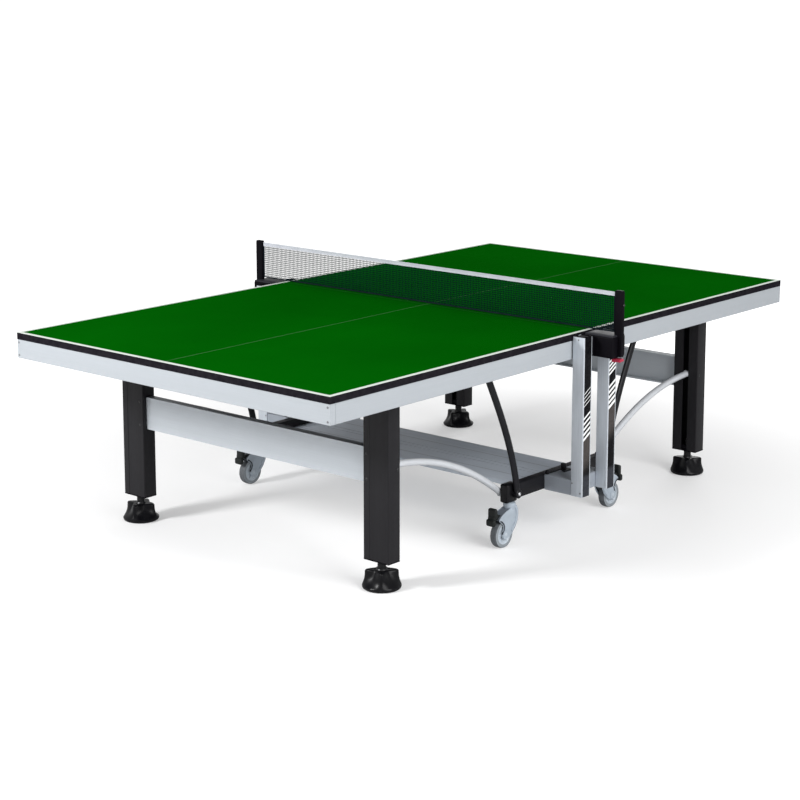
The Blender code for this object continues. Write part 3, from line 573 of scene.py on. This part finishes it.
# ---------------------------------------------------------------- legs
def leg_outline():
    """The section of a leg about its centre, +X towards the net: a channel with a shallow recess on its outer face."""
    half_x = (min(LEG_HIGH.x, LEG_LOW.x + 0.060) - LEG_LOW.x) / 2
    half_y = (LEG_HIGH.y - LEG_LOW.y) / 2
    wall, slot, corner = 0.004, 0.0135, 0.004
    outer = []
    outer += [(half_x, slot)]
    outer += arc((half_x - corner, half_y - corner), corner, 0, 90, 5)
    outer += arc((corner - half_x, half_y - corner), corner, 90, 180, 5)
    outer += [(-half_x, 0.0290), (0.0012 - half_x, 0.0280), (0.0012 - half_x, -0.0220), (-half_x, -0.0230)]
    outer += arc((corner - half_x, corner - half_y), corner, 180, 270, 5)
    outer += arc((half_x - corner, corner - half_y), corner, 270, 360, 5)
    outer += [(half_x, -slot)]
    inner_x, inner_y = half_x - wall, half_y - wall
    inner = [(inner_x, -slot), (inner_x, -inner_y), (-inner_x, -inner_y), (-inner_x, inner_y), (inner_x, inner_y), (inner_x, slot)]
    return outer + inner, half_x, half_y


def make_legs():
    outline, half_x, half_y = leg_outline()
    bottom, top = LEG_LOW.z, LEG_HIGH.z
    hinge_x, hinge_z, pin_x, pin_z = -0.890, 0.700, -0.928, 0.416
    for end, sign in ENDS:
        for side_word, side in SIDES:
            centre = Vector((-0.946, side * -FOOT_CENTRE.y if False else side * 0.601, 0.0))
            tag = word(side_word, end)
            placed = Matrix.Translation(centre)
            turn = HALF_TURN if sign > 0 else Matrix()
            if sign > 0:
                placed = Matrix.Translation(Vector((centre.x, -centre.y, 0.0)))
            body = f"legs_{end}"
            y0 = placed.translation.y
            channel = moved(prism(outline, bottom + 0.005, top - 0.001, "Z"), turn @ placed)
            piece(f"Leg_Channel_{tag}", channel, LEG, body, [f"Leg_{tag}"])
            ends = [
                block((-half_x - 0.946 + 0.0003, y0 - half_y + 0.0003, bottom), (half_x - 0.946 - 0.0003, y0 + half_y - 0.0003, bottom + 0.0050), 0.0016, 3),
                block((-half_x - 0.946 + 0.0045, y0 - half_y + 0.0045, bottom + 0.004), (half_x - 0.946 - 0.0045, y0 + half_y - 0.0045, bottom + 0.024), 0.001),
                block((-half_x - 0.946 + 0.0045, y0 - half_y + 0.0045, 0.672), (half_x - 0.946 - 0.0045, y0 + half_y - 0.0045, top), 0.001),
                block((-half_x - 0.946 + 0.002, y0 - half_y + 0.002, top - 0.002), (half_x - 0.946 - 0.002, y0 + half_y - 0.002, top), 0.0008),
                block((-0.920, y0 - half_y + 0.003, hinge_z - 0.012), (hinge_x, y0 + half_y - 0.003, hinge_z + 0.012), 0.003, 3),
                lathe([(0.0, half_y), (0.013, half_y), (0.015, half_y - 0.002), (0.015, 0.002 - half_y), (0.013, -half_y), (0.0, -half_y)], (hinge_x, y0, hinge_z), "Y"),
            ]
            piece(f"Leg_Fittings_{tag}", moved(merged(*ends), turn), PLASTIC, body)
            bolts = []
            for face in (-1, 1):
                bolts.append(screw_head((pin_x, y0 + face * half_y, pin_z), (0, face, 0), 0.0060, 0.0022))
                bolts.append(screw_head((hinge_x, y0 + face * (half_y - 0.0004), hinge_z), (0, face, 0), 0.0070, 0.0010))
            inward = 1 if y0 < 0 else -1
            bolts.append(screw_head((-0.946 - half_x, y0 + inward * 0.040, 0.464), (-1, 0, 0), 0.0050, 0.0016))
            bolts.append(screw_head((-0.946 - half_x, y0 + inward * 0.040, 0.376), (-1, 0, 0), 0.0050, 0.0016))
            piece(f"Leg_Bolts_{tag}", moved(merged(*bolts), turn), DARK_BOLT, body)
        repaint(f"Leg_Beam_{end.capitalize()}", BEAM, 0.0012)


def foot_shape(phase):
    """A bell-shaped rubber foot whose hand grip has four lobes, on a threaded stem."""
    top = 0.066
    rim, grip = 0.067, 0.0572
    heights = [
        (0.0, top - 0.0012), (0.020, top - 0.0012), (0.036, top - 0.0008), (0.048, top - 0.0002),
        (0.0535, top - 0.0010), (0.0562, top - 0.0034), (grip, top - 0.0070), (grip + 0.0002, 0.052),
        (grip + 0.0006, 0.044), (grip + 0.0018, 0.036), (grip + 0.0042, 0.028), (0.0640, 0.021),
        (0.0662, 0.0155), (rim, 0.0110), (0.0668, 0.0068), (0.0650, 0.0030), (0.0618, 0.0008),
        (0.0590, 0.0), (0.0, 0.0),
    ]

    def lobes(angle, height):
        share = min(1.0, max(0.0, (height - 0.012) / (top - 0.012)))
        depth = 0.48 * share**0.70
        wave = 0.5 - 0.5 * math.cos(4 * (angle - phase))
        return 1.0 - depth * wave**0.62

    grip_shape = lathe(heights, steps=96, lobes=lobes)
    stem_top, stem = 0.140, 0.0145
    thread = [(0.0, stem_top), (stem - 0.002, stem_top)]
    z = stem_top - 0.002
    while z > top + 0.004:
        thread += [(stem, z), (stem, z - 0.0008), (stem - 0.0014, z - 0.0015), (stem - 0.0014, z - 0.0020)]
        z -= 0.0028
    thread += [(stem + 0.002, top + 0.003), (stem + 0.005, top - 0.002), (0.0, top - 0.002)]
    return grip_shape, lathe(thread, steps=32)


def make_feet():
    phases = {("near", LEFT): 41.0, ("far", LEFT): 20.0, ("near", RIGHT): 30.0, ("far", RIGHT): 5.0}
    for end, sign in ENDS:
        for side_word, side in SIDES:
            tag = word(side_word, end)
            node = f"Foot_{tag}"
            low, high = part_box(node)
            centre = Matrix.Translation(Vector(((low.x + high.x) / 2, (low.y + high.y) / 2, 0.0)))
            grip, stem = foot_shape(math.radians(phases[(side_word, end)]))
            body = f"foot_{side_word}_{end}"
            piece(f"Foot_Grip_{tag}", moved(grip, centre), FOOT, body, [node], angle=50)
            piece(f"Foot_Stem_{tag}", moved(stem, centre), DARK_BOLT, body)


# ---------------------------------------------------------------- struts and links
def make_bars():
    strut_low, strut_high = Vector((-0.276, 0.0, 0.190)), Vector((-0.483, 0.0, 0.700))
    strut = bow(strut_low, Vector((-0.17, 0.0, 0.985)), strut_high, Vector((0.47, 0.0, -0.883)), 0.190)
    link_out, link_in = Vector((-0.928, 0.0, 0.416)), Vector((-0.295, 0.0, 0.185))
    link = bow(link_out, Vector((1.0, 0.0, -0.03)), link_in, Vector((-0.805, 0.0, 0.593)), 0.240)
    for end, sign in ENDS:
        turn = HALF_TURN if sign > 0 else Matrix()
        for side_word, side in SIDES:
            tag = word(side_word, end)
            local = -side if sign > 0 else side
            at = Vector((0.0, local * 0.660, 0.0))
            outward = local
            bar = sweep([p + at for p in strut], 0.0145, 0.0090)
            eyes = []
            for point in (strut_low, strut_high):
                profile = [(0.0, 0.0095), (0.0145, 0.0095), (0.0165, 0.0078), (0.0165, -0.0078), (0.0145, -0.0095), (0.0, -0.0095)]
                eyes.append(lathe(profile, point + at, "Y"))
            piece(f"Strut_Bar_{tag}", moved(merged(bar, *eyes), turn), STEEL, f"struts_{end}", [f"Strut_{tag}"])
            bolt = [
                screw_head(strut_low + at + Vector((0, outward * 0.0095, 0)), (0, outward, 0), 0.0070, 0.0030),
                screw_head(strut_high + at + Vector((0, outward * 0.0095, 0)), (0, outward, 0), 0.0060, 0.0020),
            ]
            piece(f"Strut_Bolts_{tag}", moved(merged(*bolt), turn), BOLT, f"struts_{end}")
            at = Vector((0.0, local * 0.601, 0.0))
            tube = sweep([p + at for p in link], 0.0122, 0.0122, 24)
            plugs = []
            for point in (link_out, link_in):
                profile = [(0.0, 0.0120), (0.0100, 0.0120), (0.0125, 0.0100), (0.0125, -0.0100), (0.0100, -0.0120), (0.0, -0.0120)]
                plugs.append(lathe(profile, point + at, "Y"))
            piece(f"Link_Tube_{tag}", moved(merged(tube, *plugs), turn), POLISHED, f"links_{end}", [f"Link_{tag}"])


# ---------------------------------------------------------------- chassis
def make_chassis():
    repaint("Bridge_Beam", BRIDGE, 0.0006)
    for side_word, side in SIDES:
        cap = side_word.capitalize()
        mirror = Matrix.Diagonal((1.0, float(-side), 1.0, 1.0))
        repaint(f"Side_Box_{cap}", BOX)
        inner, outer = RAIL_HIGH.y, RAIL_LOW.y
        bar = block((-0.264, outer, BOX_LOW.z + 0.003), (0.264, inner, BOX_HIGH.z), 0.003, 3)
        piece(f"Rail_Tube_{cap}", moved(bar, mirror), STEEL, "chassis", [f"Side_Rail_{cap}"])
        corners = []
        for sign in (-1, 1):
            ends = sorted((sign * 0.262, sign * 0.322))
            corners.append(block((ends[0], outer - 0.0003, 0.1590), (ends[1], inner + 0.0003, 0.2280), 0.007, 4))
        piece(f"Corner_Housings_{cap}", moved(merged(*corners), mirror), HOUSING, "chassis")
        heads = []
        for sign in (-1, 1):
            post_middle = sign * -(POST_LOW.x + POST_HIGH.x) / 2
            face = post_middle + (-0.025 if sign < 0 else 0.025)
            heads.append(screw_head((face, POST_HIGH.y - 0.006, 0.212), (sign, 0, 0), 0.0036, 0.0010))
            heads.append(screw_head((face, POST_LOW.y + 0.008, 0.180), (sign, 0, 0), 0.0036, 0.0010))
            heads.append(screw_head((face, (POST_LOW.y + POST_HIGH.y) / 2, 0.742), (sign, 0, 0), 0.0034, 0.0010))
            for x in (0.05, 0.13):
                heads.append(screw_head((sign * x, -0.600, BRIDGE_HIGH.z), (0, 0, 1), 0.0050, 0.0014))
        piece(f"Chassis_Screws_{cap}", moved(merged(*heads), mirror), SCREW, "chassis")
        lid = BOX_HIGH.z
        latch = [(-0.034, -0.690), (0.012, -0.690), (0.012, -0.652), (-0.006, -0.652)]
        clamps = [
            lathe([(0.0, 0.050), (0.0034, 0.050), (0.0034, -0.050), (0.0, -0.050)], (-0.048, -0.661, lid + 0.0046), "X", 20),
            lathe([(0.0, 0.008), (0.0065, 0.008), (0.0085, 0.005), (0.0085, -0.005), (0.0065, -0.008), (0.0, -0.008)], (-0.097, -0.661, lid + 0.010), "X", 24),
            block((-0.006, -0.670, lid - 0.001), (0.010, -0.652, lid + 0.024), 0.0035, 3),
            prism(latch, lid - 0.0005, lid + 0.006, "Z", 0.001, 2),
        ]
        piece(f"Latch_Rod_{cap}", moved(merged(*clamps), mirror), HOUSING, "chassis")


def post_outline():
    half, wall, slot, corner = 0.025, 0.004, 0.009, 0.0022
    outer = [(slot, half)]
    outer += arc((half - corner, half - corner), corner, 90, 0, 4)
    outer += arc((half - corner, corner - half), corner, 0, -90, 4)
    outer += arc((corner - half, corner - half), corner, 270, 180, 4)
    outer += arc((corner - half, half - corner), corner, 180, 90, 4)
    outer += [(-slot, half)]
    inside = half - wall
    inner = [(-slot, inside), (-inside, inside), (-inside, -inside), (inside, -inside), (inside, inside), (slot, inside)]
    return outer + inner


def make_posts():
    outline = post_outline()
    middle_y = (POST_LOW.y + POST_HIGH.y) / 2
    for side_word, side in SIDES:
        for end, sign in ENDS:
            tag = word(side_word, end)
            mirror = Matrix.Diagonal((float(-sign), float(-side), 1.0, 1.0))
            centre = Matrix.Translation(Vector(((POST_LOW.x + POST_HIGH.x) / 2, middle_y, 0.0)))
            tube = moved(prism(outline, POST_LOW.z, POST_HIGH.z - 0.003, "Z", 0.0004, 1), centre)
            piece(f"Post_Tube_{tag}", moved(tube, mirror), POST, "chassis", [f"Guide_Post_{tag}"])
            x = (POST_LOW.x + POST_HIGH.x) / 2
            ring = [
                block((x - 0.0245, POST_LOW.y + 0.0005, POST_HIGH.z - 0.004), (x + 0.0245, POST_LOW.y + 0.0047, POST_HIGH.z), 0.0008),
                block((x - 0.0245, POST_LOW.y + 0.0005, POST_HIGH.z - 0.004), (x - 0.0205, POST_HIGH.y - 0.0005, POST_HIGH.z), 0.0008),
                block((x + 0.0205, POST_LOW.y + 0.0005, POST_HIGH.z - 0.004), (x + 0.0245, POST_HIGH.y - 0.0005, POST_HIGH.z), 0.0008),
            ]
            piece(f"Post_Cap_{tag}", moved(merged(*ring), mirror), PLASTIC, "chassis")


# ---------------------------------------------------------------- casters
def strip(line, width):
    """A closed outline of even width along an open line in a plane."""
    sides = ([], [])
    last = len(line) - 1
    for i, (a, b) in enumerate(line):
        ahead = Vector(line[min(i + 1, last)]) - Vector(line[max(i - 1, 0)])
        across = Vector((-ahead.y, ahead.x)).normalized() * width / 2
        sides[0].append((a + across.x, b + across.y))
        sides[1].append((a - across.x, b - across.y))
    return sides[0] + sides[1][::-1]


def fork_shapes():
    """The caster housing at the near-left corner, its swivel axis at x = 0.

    Two cheeks with a raised front column and a raised rim down to the axle, the rim dark with painted shade, a hood
    darkened with painted shade, and a collar.
    """
    front = [(0.0190, 0.1440), (0.0245, 0.1360), (0.0268, 0.1220), (0.0262, 0.1040), (0.0225, 0.0860)]
    front += [(0.0120, 0.0660), (-0.0080, 0.0450), (-0.0240, 0.0360)]
    back = [(-0.0620, 0.0640), (-0.0570, 0.0720), (-0.0560, 0.0800), (-0.0600, 0.0880), (-0.0690, 0.0960)]
    back += [(-0.0780, 0.1020), (-0.0815, 0.1060)]
    top = [(-0.0800, 0.1125), (-0.0700, 0.1210), (-0.0560, 0.1285), (-0.0400, 0.1345), (-0.0200, 0.1400)]
    cheek = front + arc((-0.045, 0.050), 0.0185, -38, -215, 12)[1:] + back + top
    hood = [(0.0190, 0.1440), (0.0245, 0.1360), (0.0266, 0.1220), (0.0262, 0.1040), (0.0220, 0.0900)]
    hood += [(0.0120, 0.0980), (-0.0100, 0.1045), (-0.0400, 0.1065), (-0.0700, 0.1035), (-0.0790, 0.1070)]
    hood += [(-0.0780, 0.1130), (-0.0560, 0.1280), (-0.0200, 0.1395)]
    rim = [(-0.0770, 0.1065), (-0.0660, 0.1000), (-0.0560, 0.0905), (-0.0520, 0.0800), (-0.0545, 0.0700)]
    rim += [(-0.0585, 0.0620), (-0.0605, 0.0520)]
    column = [(0.0110, 0.1430), (0.0180, 0.1300), (0.0195, 0.1120), (0.0160, 0.0920), (0.0060, 0.0740), (-0.0110, 0.0560)]
    shapes, slot_shade_strips = [], []
    for side in (-1, 1):
        for outline, depth in ((cheek, 0.0192), (strip(column, 0.0115), 0.0222)):
            ends = sorted((side * 0.0160, side * depth))
            shapes.append(prism(outline, ends[0], ends[1], "Y", 0.0014, 3))
        # painted shade: the rim strip is dark, for the shade in the gap between cheek and wheel
        ends = sorted((side * 0.0150, side * 0.0204))
        slot_shade_strips.append(prism(strip(rim, 0.0052), ends[0], ends[1], "Y", 0.0006, 2))
        shapes.append(lathe([(0.0, 0.0023), (0.0150, 0.0023), (0.0170, 0.0010), (0.0170, -0.0020), (0.0, -0.0020)], (-0.045, side * 0.0188, 0.050), "Y", 40))
    collar = [(0.0, 0.1586), (0.0190, 0.1586), (0.0225, 0.1560), (0.0230, 0.1480), (0.0222, 0.1430), (0.0205, 0.1330), (0.0, 0.1330)]
    shapes.append(lathe(collar))
    return shapes, [prism(hood, -0.0172, 0.0172, "Y", 0.0)], slot_shade_strips


def wheel_shapes():
    """Tyre and hub about the Y axis at the origin."""
    half = 0.014
    tyre = [(0.0365, half - 0.002), (0.0380, half - 0.0002), (0.0460, half), (0.0484, half - 0.0009)]
    tyre += [(0.0495, half - 0.0032), (0.0499, half - 0.0070), (0.0500, 0.0), (0.0499, 0.0070 - half)]
    tyre += [(0.0495, 0.0032 - half), (0.0484, 0.0009 - half), (0.0460, -half), (0.0380, 0.0002 - half)]
    tyre += [(0.0365, 0.002 - half)]
    hub = [(0.0, half - 0.001), (0.0125, half - 0.0005), (0.0140, half - 0.0030), (0.0165, half - 0.0055), (0.0290, half - 0.0050)]
    hub += [(0.0325, half - 0.0015), (0.0368, half - 0.0012), (0.0368, 0.0012 - half), (0.0325, 0.0015 - half), (0.0290, 0.0050 - half)]
    hub += [(0.0165, 0.0055 - half), (0.0140, 0.0030 - half), (0.0125, 0.0005 - half), (0.0, 0.001 - half)]
    ribs = []
    for i in range(6):
        rib = block((0.0120, -half + 0.0020, -0.0012), (0.0330, half - 0.0020, 0.0012), 0.0005)
        ribs.append(moved(rib, Matrix.Rotation(i * math.pi / 3, 4, "Y")))
    return lathe(tyre, axis="Y", steps=64), merged(lathe(hub, axis="Y", steps=48), *ribs)


def make_casters():
    for side_word, side in SIDES:
        for end, sign in ENDS:
            tag = word(side_word, end)
            key = f"{side_word}_{end}"
            mirror = quarter(side, sign)
            home = Matrix.Translation(SWIVEL)
            body = f"caster_{key}"
            shell, hood, slot_shade_strips = fork_shapes()
            fork = moved(merged(*shell), mirror @ home)
            piece(f"Fork_Cheeks_{tag}", fork, CASTER, body, [f"Caster_Fork_{tag}"], angle=40)
            # the hood's darker plastic is painted shade
            piece(f"Fork_Hood_{tag}", moved(merged(*hood), mirror @ home), HOOD_SHADE_PAINTED, body)
            hinge = (-0.096, 0.0, 0.122)
            lug = [(-0.0960, 0.1278), (-0.0620, 0.1240), (-0.0620, 0.1080), (-0.0770, 0.1080), (-0.0960, 0.1162)]
            eye = [(0.0, 0.0095), (0.0058, 0.0095), (0.0058, -0.0095), (0.0, -0.0095)]
            arm = merged(prism(lug, -0.0095, 0.0095, "Y", 0.0010, 2), lathe(eye, hinge, "Y", 24))
            piece(f"Brake_Arm_{tag}", moved(arm, mirror @ home), PEDAL, body)
            # painted shade along the cheeks' trailing edges
            piece(f"Fork_Slot_Shade_{tag}", moved(merged(*slot_shade_strips), mirror @ home), SLOT_SHADE, body)
            axle = [
                lathe([(0.0, 0.0225), (0.0050, 0.0225), (0.0072, 0.0212), (0.0072, 0.0150), (0.0, 0.0150)], (-0.045, 0.0, 0.050), "Y", 24),
                lathe([(0.0, -0.0150), (0.0072, -0.0150), (0.0072, -0.0212), (0.0050, -0.0225), (0.0, -0.0225)], (-0.045, 0.0, 0.050), "Y", 24),
            ]
            piece(f"Axle_Ends_{tag}", moved(merged(*axle), mirror @ home), HUB, body)
            centre = Matrix.Translation(WHEEL_CENTRE)
            tyre, hub = wheel_shapes()
            piece(f"Tyre_{tag}", moved(tyre, mirror @ centre), TYRE, f"wheel_{key}", [f"Caster_Wheel_{tag}"])
            piece(f"Hub_{tag}", moved(hub, mirror @ centre), HUB, f"wheel_{key}")
            pedal = merged(
                block((-0.0090, -0.0180, -0.0040), (0.0080, 0.0180, 0.0330), 0.0070, 5),
                block((-0.0190, -0.0190, -0.0310), (-0.0010, 0.0190, -0.0050), 0.0075, 5),
                block((-0.0110, -0.0150, -0.0110), (0.0020, 0.0150, 0.0050), 0.0030, 3),
            )
            place = Matrix.Translation(SWIVEL + Vector(hinge))
            piece(f"Pedal_{tag}", moved(pedal, mirror @ place), PEDAL, f"pedal_{key}", [f"Brake_Pedal_{tag}"], angle=50)


# ---------------------------------------------------------------- net
CORNERS = ((1, 1), (-1, 1), (-1, -1), (1, -1))
KNOT_TIPS = ((1, 0, 0), (0, 1, 0), (-1, 0, 0), (0, -1, 0), (0, 0, 1), (0, 0, -1))


def net_threads():
    """Knotted square mesh between the hems, one tube for each cord and a knot at each crossing."""
    pitch, radius = 0.0075, 0.00112
    low, high = NET_LOW.z + 0.0040, NET_HIGH.z - 0.0002
    reach = NET_HIGH.y - 0.004
    columns = int(2 * reach / pitch)
    rows = int((high - low) / pitch)
    made = bmesh.new()

    def cord(start, end, across, up):
        rings = []
        for point in (start, end):
            ring = []
            for k in range(6):
                angle = math.pi * k / 3
                ring.append(made.verts.new(point + across * radius * math.cos(angle) + up * radius * math.sin(angle)))
            rings.append(ring)
        for k in range(6):
            j = (k + 1) % 6
            made.faces.new((rings[0][k], rings[0][j], rings[1][j], rings[1][k]))
        for ring in rings:
            made.faces.new(ring)

    def knot(at):
        """A small eight-sided knot where two cords cross."""
        size = 0.0017
        tips = [made.verts.new(at + Vector(step) * size) for step in KNOT_TIPS]
        for a, b in ((0, 1), (1, 2), (2, 3), (3, 0)):
            made.faces.new((tips[a], tips[b], tips[4]))
            made.faces.new((tips[b], tips[a], tips[5]))

    x, y, z = Vector((1, 0, 0)), Vector((0, 1, 0)), Vector((0, 0, 1))
    columns_at = [-reach + 2 * reach * i / columns for i in range(columns + 1)]
    rows_at = [low + (high - low) * (i + 0.5) / rows for i in range(rows)]
    for at in columns_at:
        cord(Vector((0.0004, at, low)), Vector((0.0004, at, high)), x, y)
    for at in rows_at:
        cord(Vector((-0.0004, -reach, at)), Vector((-0.0004, reach, at)), x, z)
    for column in columns_at:
        for row in rows_at:
            knot(Vector((0.0, column, row)))
    return made


def stitch(sewn, start, length):
    """One short thread stitch along Y, square in section, tapering at both ends."""
    rings = []
    for share, size in ((0.0, 0.00012), (0.25, 0.0003), (0.75, 0.0003), (1.0, 0.00012)):
        centre = start + Vector((0.0, length * share, 0.0))
        rings.append([sewn.verts.new(centre + Vector((a * size, 0.0, b * size))) for a, b in CORNERS])
    for first, second in zip(rings, rings[1:]):
        for k in range(4):
            j = (k + 1) % 4
            sewn.faces.new((first[k], first[j], second[j], second[k]))
    sewn.faces.new(rings[0])
    sewn.faces.new(rings[-1])


def make_net():
    threads = piece("Net_Threads", net_threads(), CORD, "chassis", ["Net_Mesh"], angle=80)
    reach = TAPE_HIGH.y
    half = 0.0014
    fold = [(-half, TAPE_LOW.z), (-half * 0.72, TAPE_LOW.z + 0.0006), (-half * 0.72, TAPE_HIGH.z - 0.0040)]
    fold += arc((0.0, TAPE_HIGH.z - 0.0018), half + 0.0003, 170, 10, 8)
    fold += [(half * 0.72, TAPE_HIGH.z - 0.0040), (half * 0.72, TAPE_LOW.z + 0.0006), (half, TAPE_LOW.z)]
    tape = prism(fold, -reach, reach, "Y")
    tape_piece = piece("Tape_Fold", tape, TAPE, "chassis", ["Net_Tape"], angle=60)
    count = 438
    sewn = bmesh.new()
    for i in range(count):
        y = -reach + 0.004 + (2 * reach - 0.008) * (i + 0.2) / count
        for x in (-half * 0.80, half * 0.80):
            stitch(sewn, Vector((x, y, TAPE_LOW.z + 0.0022)), 0.0026)
    stitch_piece = piece("Tape_Stitches", sewn, TAPE, "chassis")
    cords = [
        block((-0.0013, -reach, NET_LOW.z + 0.0002), (0.0013, reach, NET_LOW.z + 0.0050), 0.0011, 3),
        block((-0.0012, -reach, NET_LOW.z + 0.0002), (0.0012, -reach + 0.0050, TAPE_LOW.z), 0.0010, 2),
        block((-0.0012, reach - 0.0050, NET_LOW.z + 0.0002), (0.0012, reach, TAPE_LOW.z), 0.0010, 2),
    ]
    hems = piece("Net_Hems", merged(*cords), HEM, "chassis")


def make_net_posts():
    for side_word, side in SIDES:
        cap = side_word.capitalize()
        mirror = Matrix.Diagonal((1.0, float(-side), 1.0, 1.0))
        outer, top, base = NET_POST_LOW.y, NET_POST_HIGH.z, NET_POST_LOW.z
        net_end = NET_LOW.y
        column = [
            block((-0.0085, outer, base + 0.004), (0.0085, -0.8800, top - 0.004), 0.0022, 4),
            block((-0.0080, outer + 0.0005, top - 0.006), (0.0080, -0.8805, top), 0.0028, 4),
            block((-0.0040, -0.8815, NET_LOW.z), (0.0040, net_end - 0.0003, top - 0.004), 0.0006),
        ]
        housing = [
            block((-0.0400, -0.8960, base), (0.0400, -0.7980, 0.7535), 0.0060, 5),
            block((-0.0522, -0.8160, base + 0.006), (0.0522, -0.7700, 0.7475), 0.0030, 3),
            block((-0.0300, -0.7990, base + 0.010), (0.0300, -0.7720, 0.7560), 0.0040, 3),
        ]
        piece(f"Post_Column_{cap}", moved(merged(*column), mirror), PLASTIC, "chassis", [f"Net_Post_{cap}"])
        piece(f"Post_Bracket_{cap}", moved(merged(*housing), mirror), PLASTIC, "chassis")
        plate = [
            block((-0.0385, -0.8940, 0.7515), (0.0385, -0.7990, 0.7578), 0.0030, 4),
            block((-0.0340, -0.8010, 0.7500), (0.0340, -0.7720, 0.7570), 0.0028, 4),
        ]
        piece(f"Bracket_Plate_{cap}", moved(merged(*plate), mirror), PLATE, "chassis")
        knobs = [
            lathe([(0.0, 0.0), (0.0030, 0.0), (0.0042, -0.0012), (0.0042, -0.0040), (0.0, -0.0040)], (0.0, outer - 0.0002, 0.868), "Y", 24),
        ]
        piece(f"Net_Knobs_{cap}", moved(merged(*knobs), mirror), DARK_BOLT, "chassis")
        finger = [(LEVER_HIGH.y, LEVER_HIGH.z - 0.004), (LEVER_HIGH.y - 0.004, LEVER_HIGH.z)]
        finger += arc((LEVER_LOW.y + 0.006, LEVER_HIGH.z - 0.0063), 0.006, 90, 270, 8)
        finger += [(LEVER_LOW.y + 0.015, LEVER_LOW.z + 0.0024), (LEVER_HIGH.y - 0.012, LEVER_LOW.z)]
        finger += [(LEVER_HIGH.y - 0.003, LEVER_LOW.z + 0.0010)]
        lever = prism(finger, LEVER_LOW.x, LEVER_HIGH.x, "X", 0.0012, 3)
        piece(f"Lever_Finger_{cap}", moved(lever, mirror), RED, f"lever_{side_word}", [f"Release_Lever_{cap}"], angle=50)


def make_sliders():
    for name in NODES:
        if name.startswith("Slider_"):
            repaint(name, PLASTIC)


# ---------------------------------------------------------------- studio
def make_studio():
    floor_mesh = bmesh.new()
    bmesh.ops.create_circle(floor_mesh, cap_ends=True, segments=96, radius=300.0)
    mesh = bpy.data.meshes.new("Studio_Floor")
    floor_mesh.to_mesh(mesh)
    floor_mesh.free()
    floor_finish = Finish("Floor_Matt_Painted_Glow", (0.64, 0.64, 0.64), 0.9, specular=0.05)
    clouds = floor_finish.noise(0.6, 3.0)
    floor_finish.paint(floor_finish.mix(clouds, (0.63, 0.63, 0.635, 1.0), (0.65, 0.65, 0.65, 1.0)))
    # painted light: the floor glows for camera rays only; the glow lifts the shade under the middle of the table, dips
    # round the feet and rises far off into a white backdrop
    square = floor_finish.math("MULTIPLY", floor_finish.x, floor_finish.x)
    square = floor_finish.math("ADD", square, floor_finish.math("MULTIPLY", floor_finish.y, floor_finish.y))
    inner = floor_finish.spread(square, 0.1, 1.2, 0.43, 0.30, smooth=True)
    outer = floor_finish.spread(square, 1.2, 9.0, 0.0, 0.42, smooth=True)
    painted_floor_light = floor_finish.math("ADD", inner, outer)
    seen = floor_finish.nodes.new("ShaderNodeLightPath").outputs["Is Camera Ray"]
    floor_finish.shader.inputs["Emission Color"].default_value = (1.0, 1.0, 1.0, 1.0)
    floor_finish.put(floor_finish.shader.inputs["Emission Strength"], floor_finish.math("MULTIPLY", seen, painted_floor_light))
    mesh.materials.append(floor_finish.material)
    floor = bpy.data.objects.new("Studio_Floor", mesh)
    floor.location.z = FOOT_LOW.z - 0.0002
    bpy.context.scene.collection.objects.link(floor)

    world = bpy.data.worlds.new("Studio")
    bpy.context.scene.world = world
    world.use_nodes = True
    tree = world.node_tree
    sky = tree.nodes["Background"]
    sky.inputs["Color"].default_value = (1.0, 1.0, 1.0, 1.0)
    strength = tree.nodes.new("ShaderNodeMapRange")
    strength.inputs["To Min"].default_value = 0.55
    strength.inputs["To Max"].default_value = 1.0
    tree.links.new(tree.nodes.new("ShaderNodeLightPath").outputs["Is Camera Ray"], strength.inputs["Value"])
    tree.links.new(strength.outputs[0], sky.inputs["Strength"])

    target = Vector((0.0, 0.0, 0.5))
    lamps = (
        ("Key", Vector((-4.8, 1.6, 2.9)), 1.0, 245.0),
        ("Front", Vector((-1.2, -5.6, 3.0)), 3.6, 300.0),
        ("Back", Vector((4.6, 1.2, 2.6)), 2.4, 60.0),
    )
    for name, at, size, power in lamps:
        data = bpy.data.lights.new(name, "AREA")
        data.shape = "SQUARE"
        data.size = size
        data.energy = power
        lamp = bpy.data.objects.new(name, data)
        lamp.location = at
        lamp.rotation_mode = "QUATERNION"
        lamp.rotation_quaternion = (target - at).to_track_quat("-Z", "Y")
        bpy.context.scene.collection.objects.link(lamp)


def make_camera():
    azimuth, elevation = math.radians(-49.284), math.radians(10.196)
    back = Vector(
        (
            math.sin(azimuth) * math.cos(elevation),
            -math.cos(azimuth) * math.cos(elevation),
            math.sin(elevation),
        )
    )
    data = bpy.data.cameras.new("Camera")
    data.sensor_width = 36.0
    data.lens = 87.013
    data.shift_y = -0.14
    data.clip_start = 0.1
    data.clip_end = 1000.0
    camera = bpy.data.objects.new("Camera", data)
    camera.location = (-5.6177, -4.7022, 2.1407)
    camera.rotation_mode = "QUATERNION"
    camera.rotation_quaternion = (-back).to_track_quat("-Z", "Y")
    bpy.context.scene.collection.objects.link(camera)
    bpy.context.scene.camera = camera


bpy.context.scene.view_settings.view_transform = "Standard"
make_camera()
make_studio()
make_tops()
make_legs()
make_feet()
make_bars()
make_chassis()
make_posts()
make_casters()
make_net()
make_net_posts()
make_sliders()
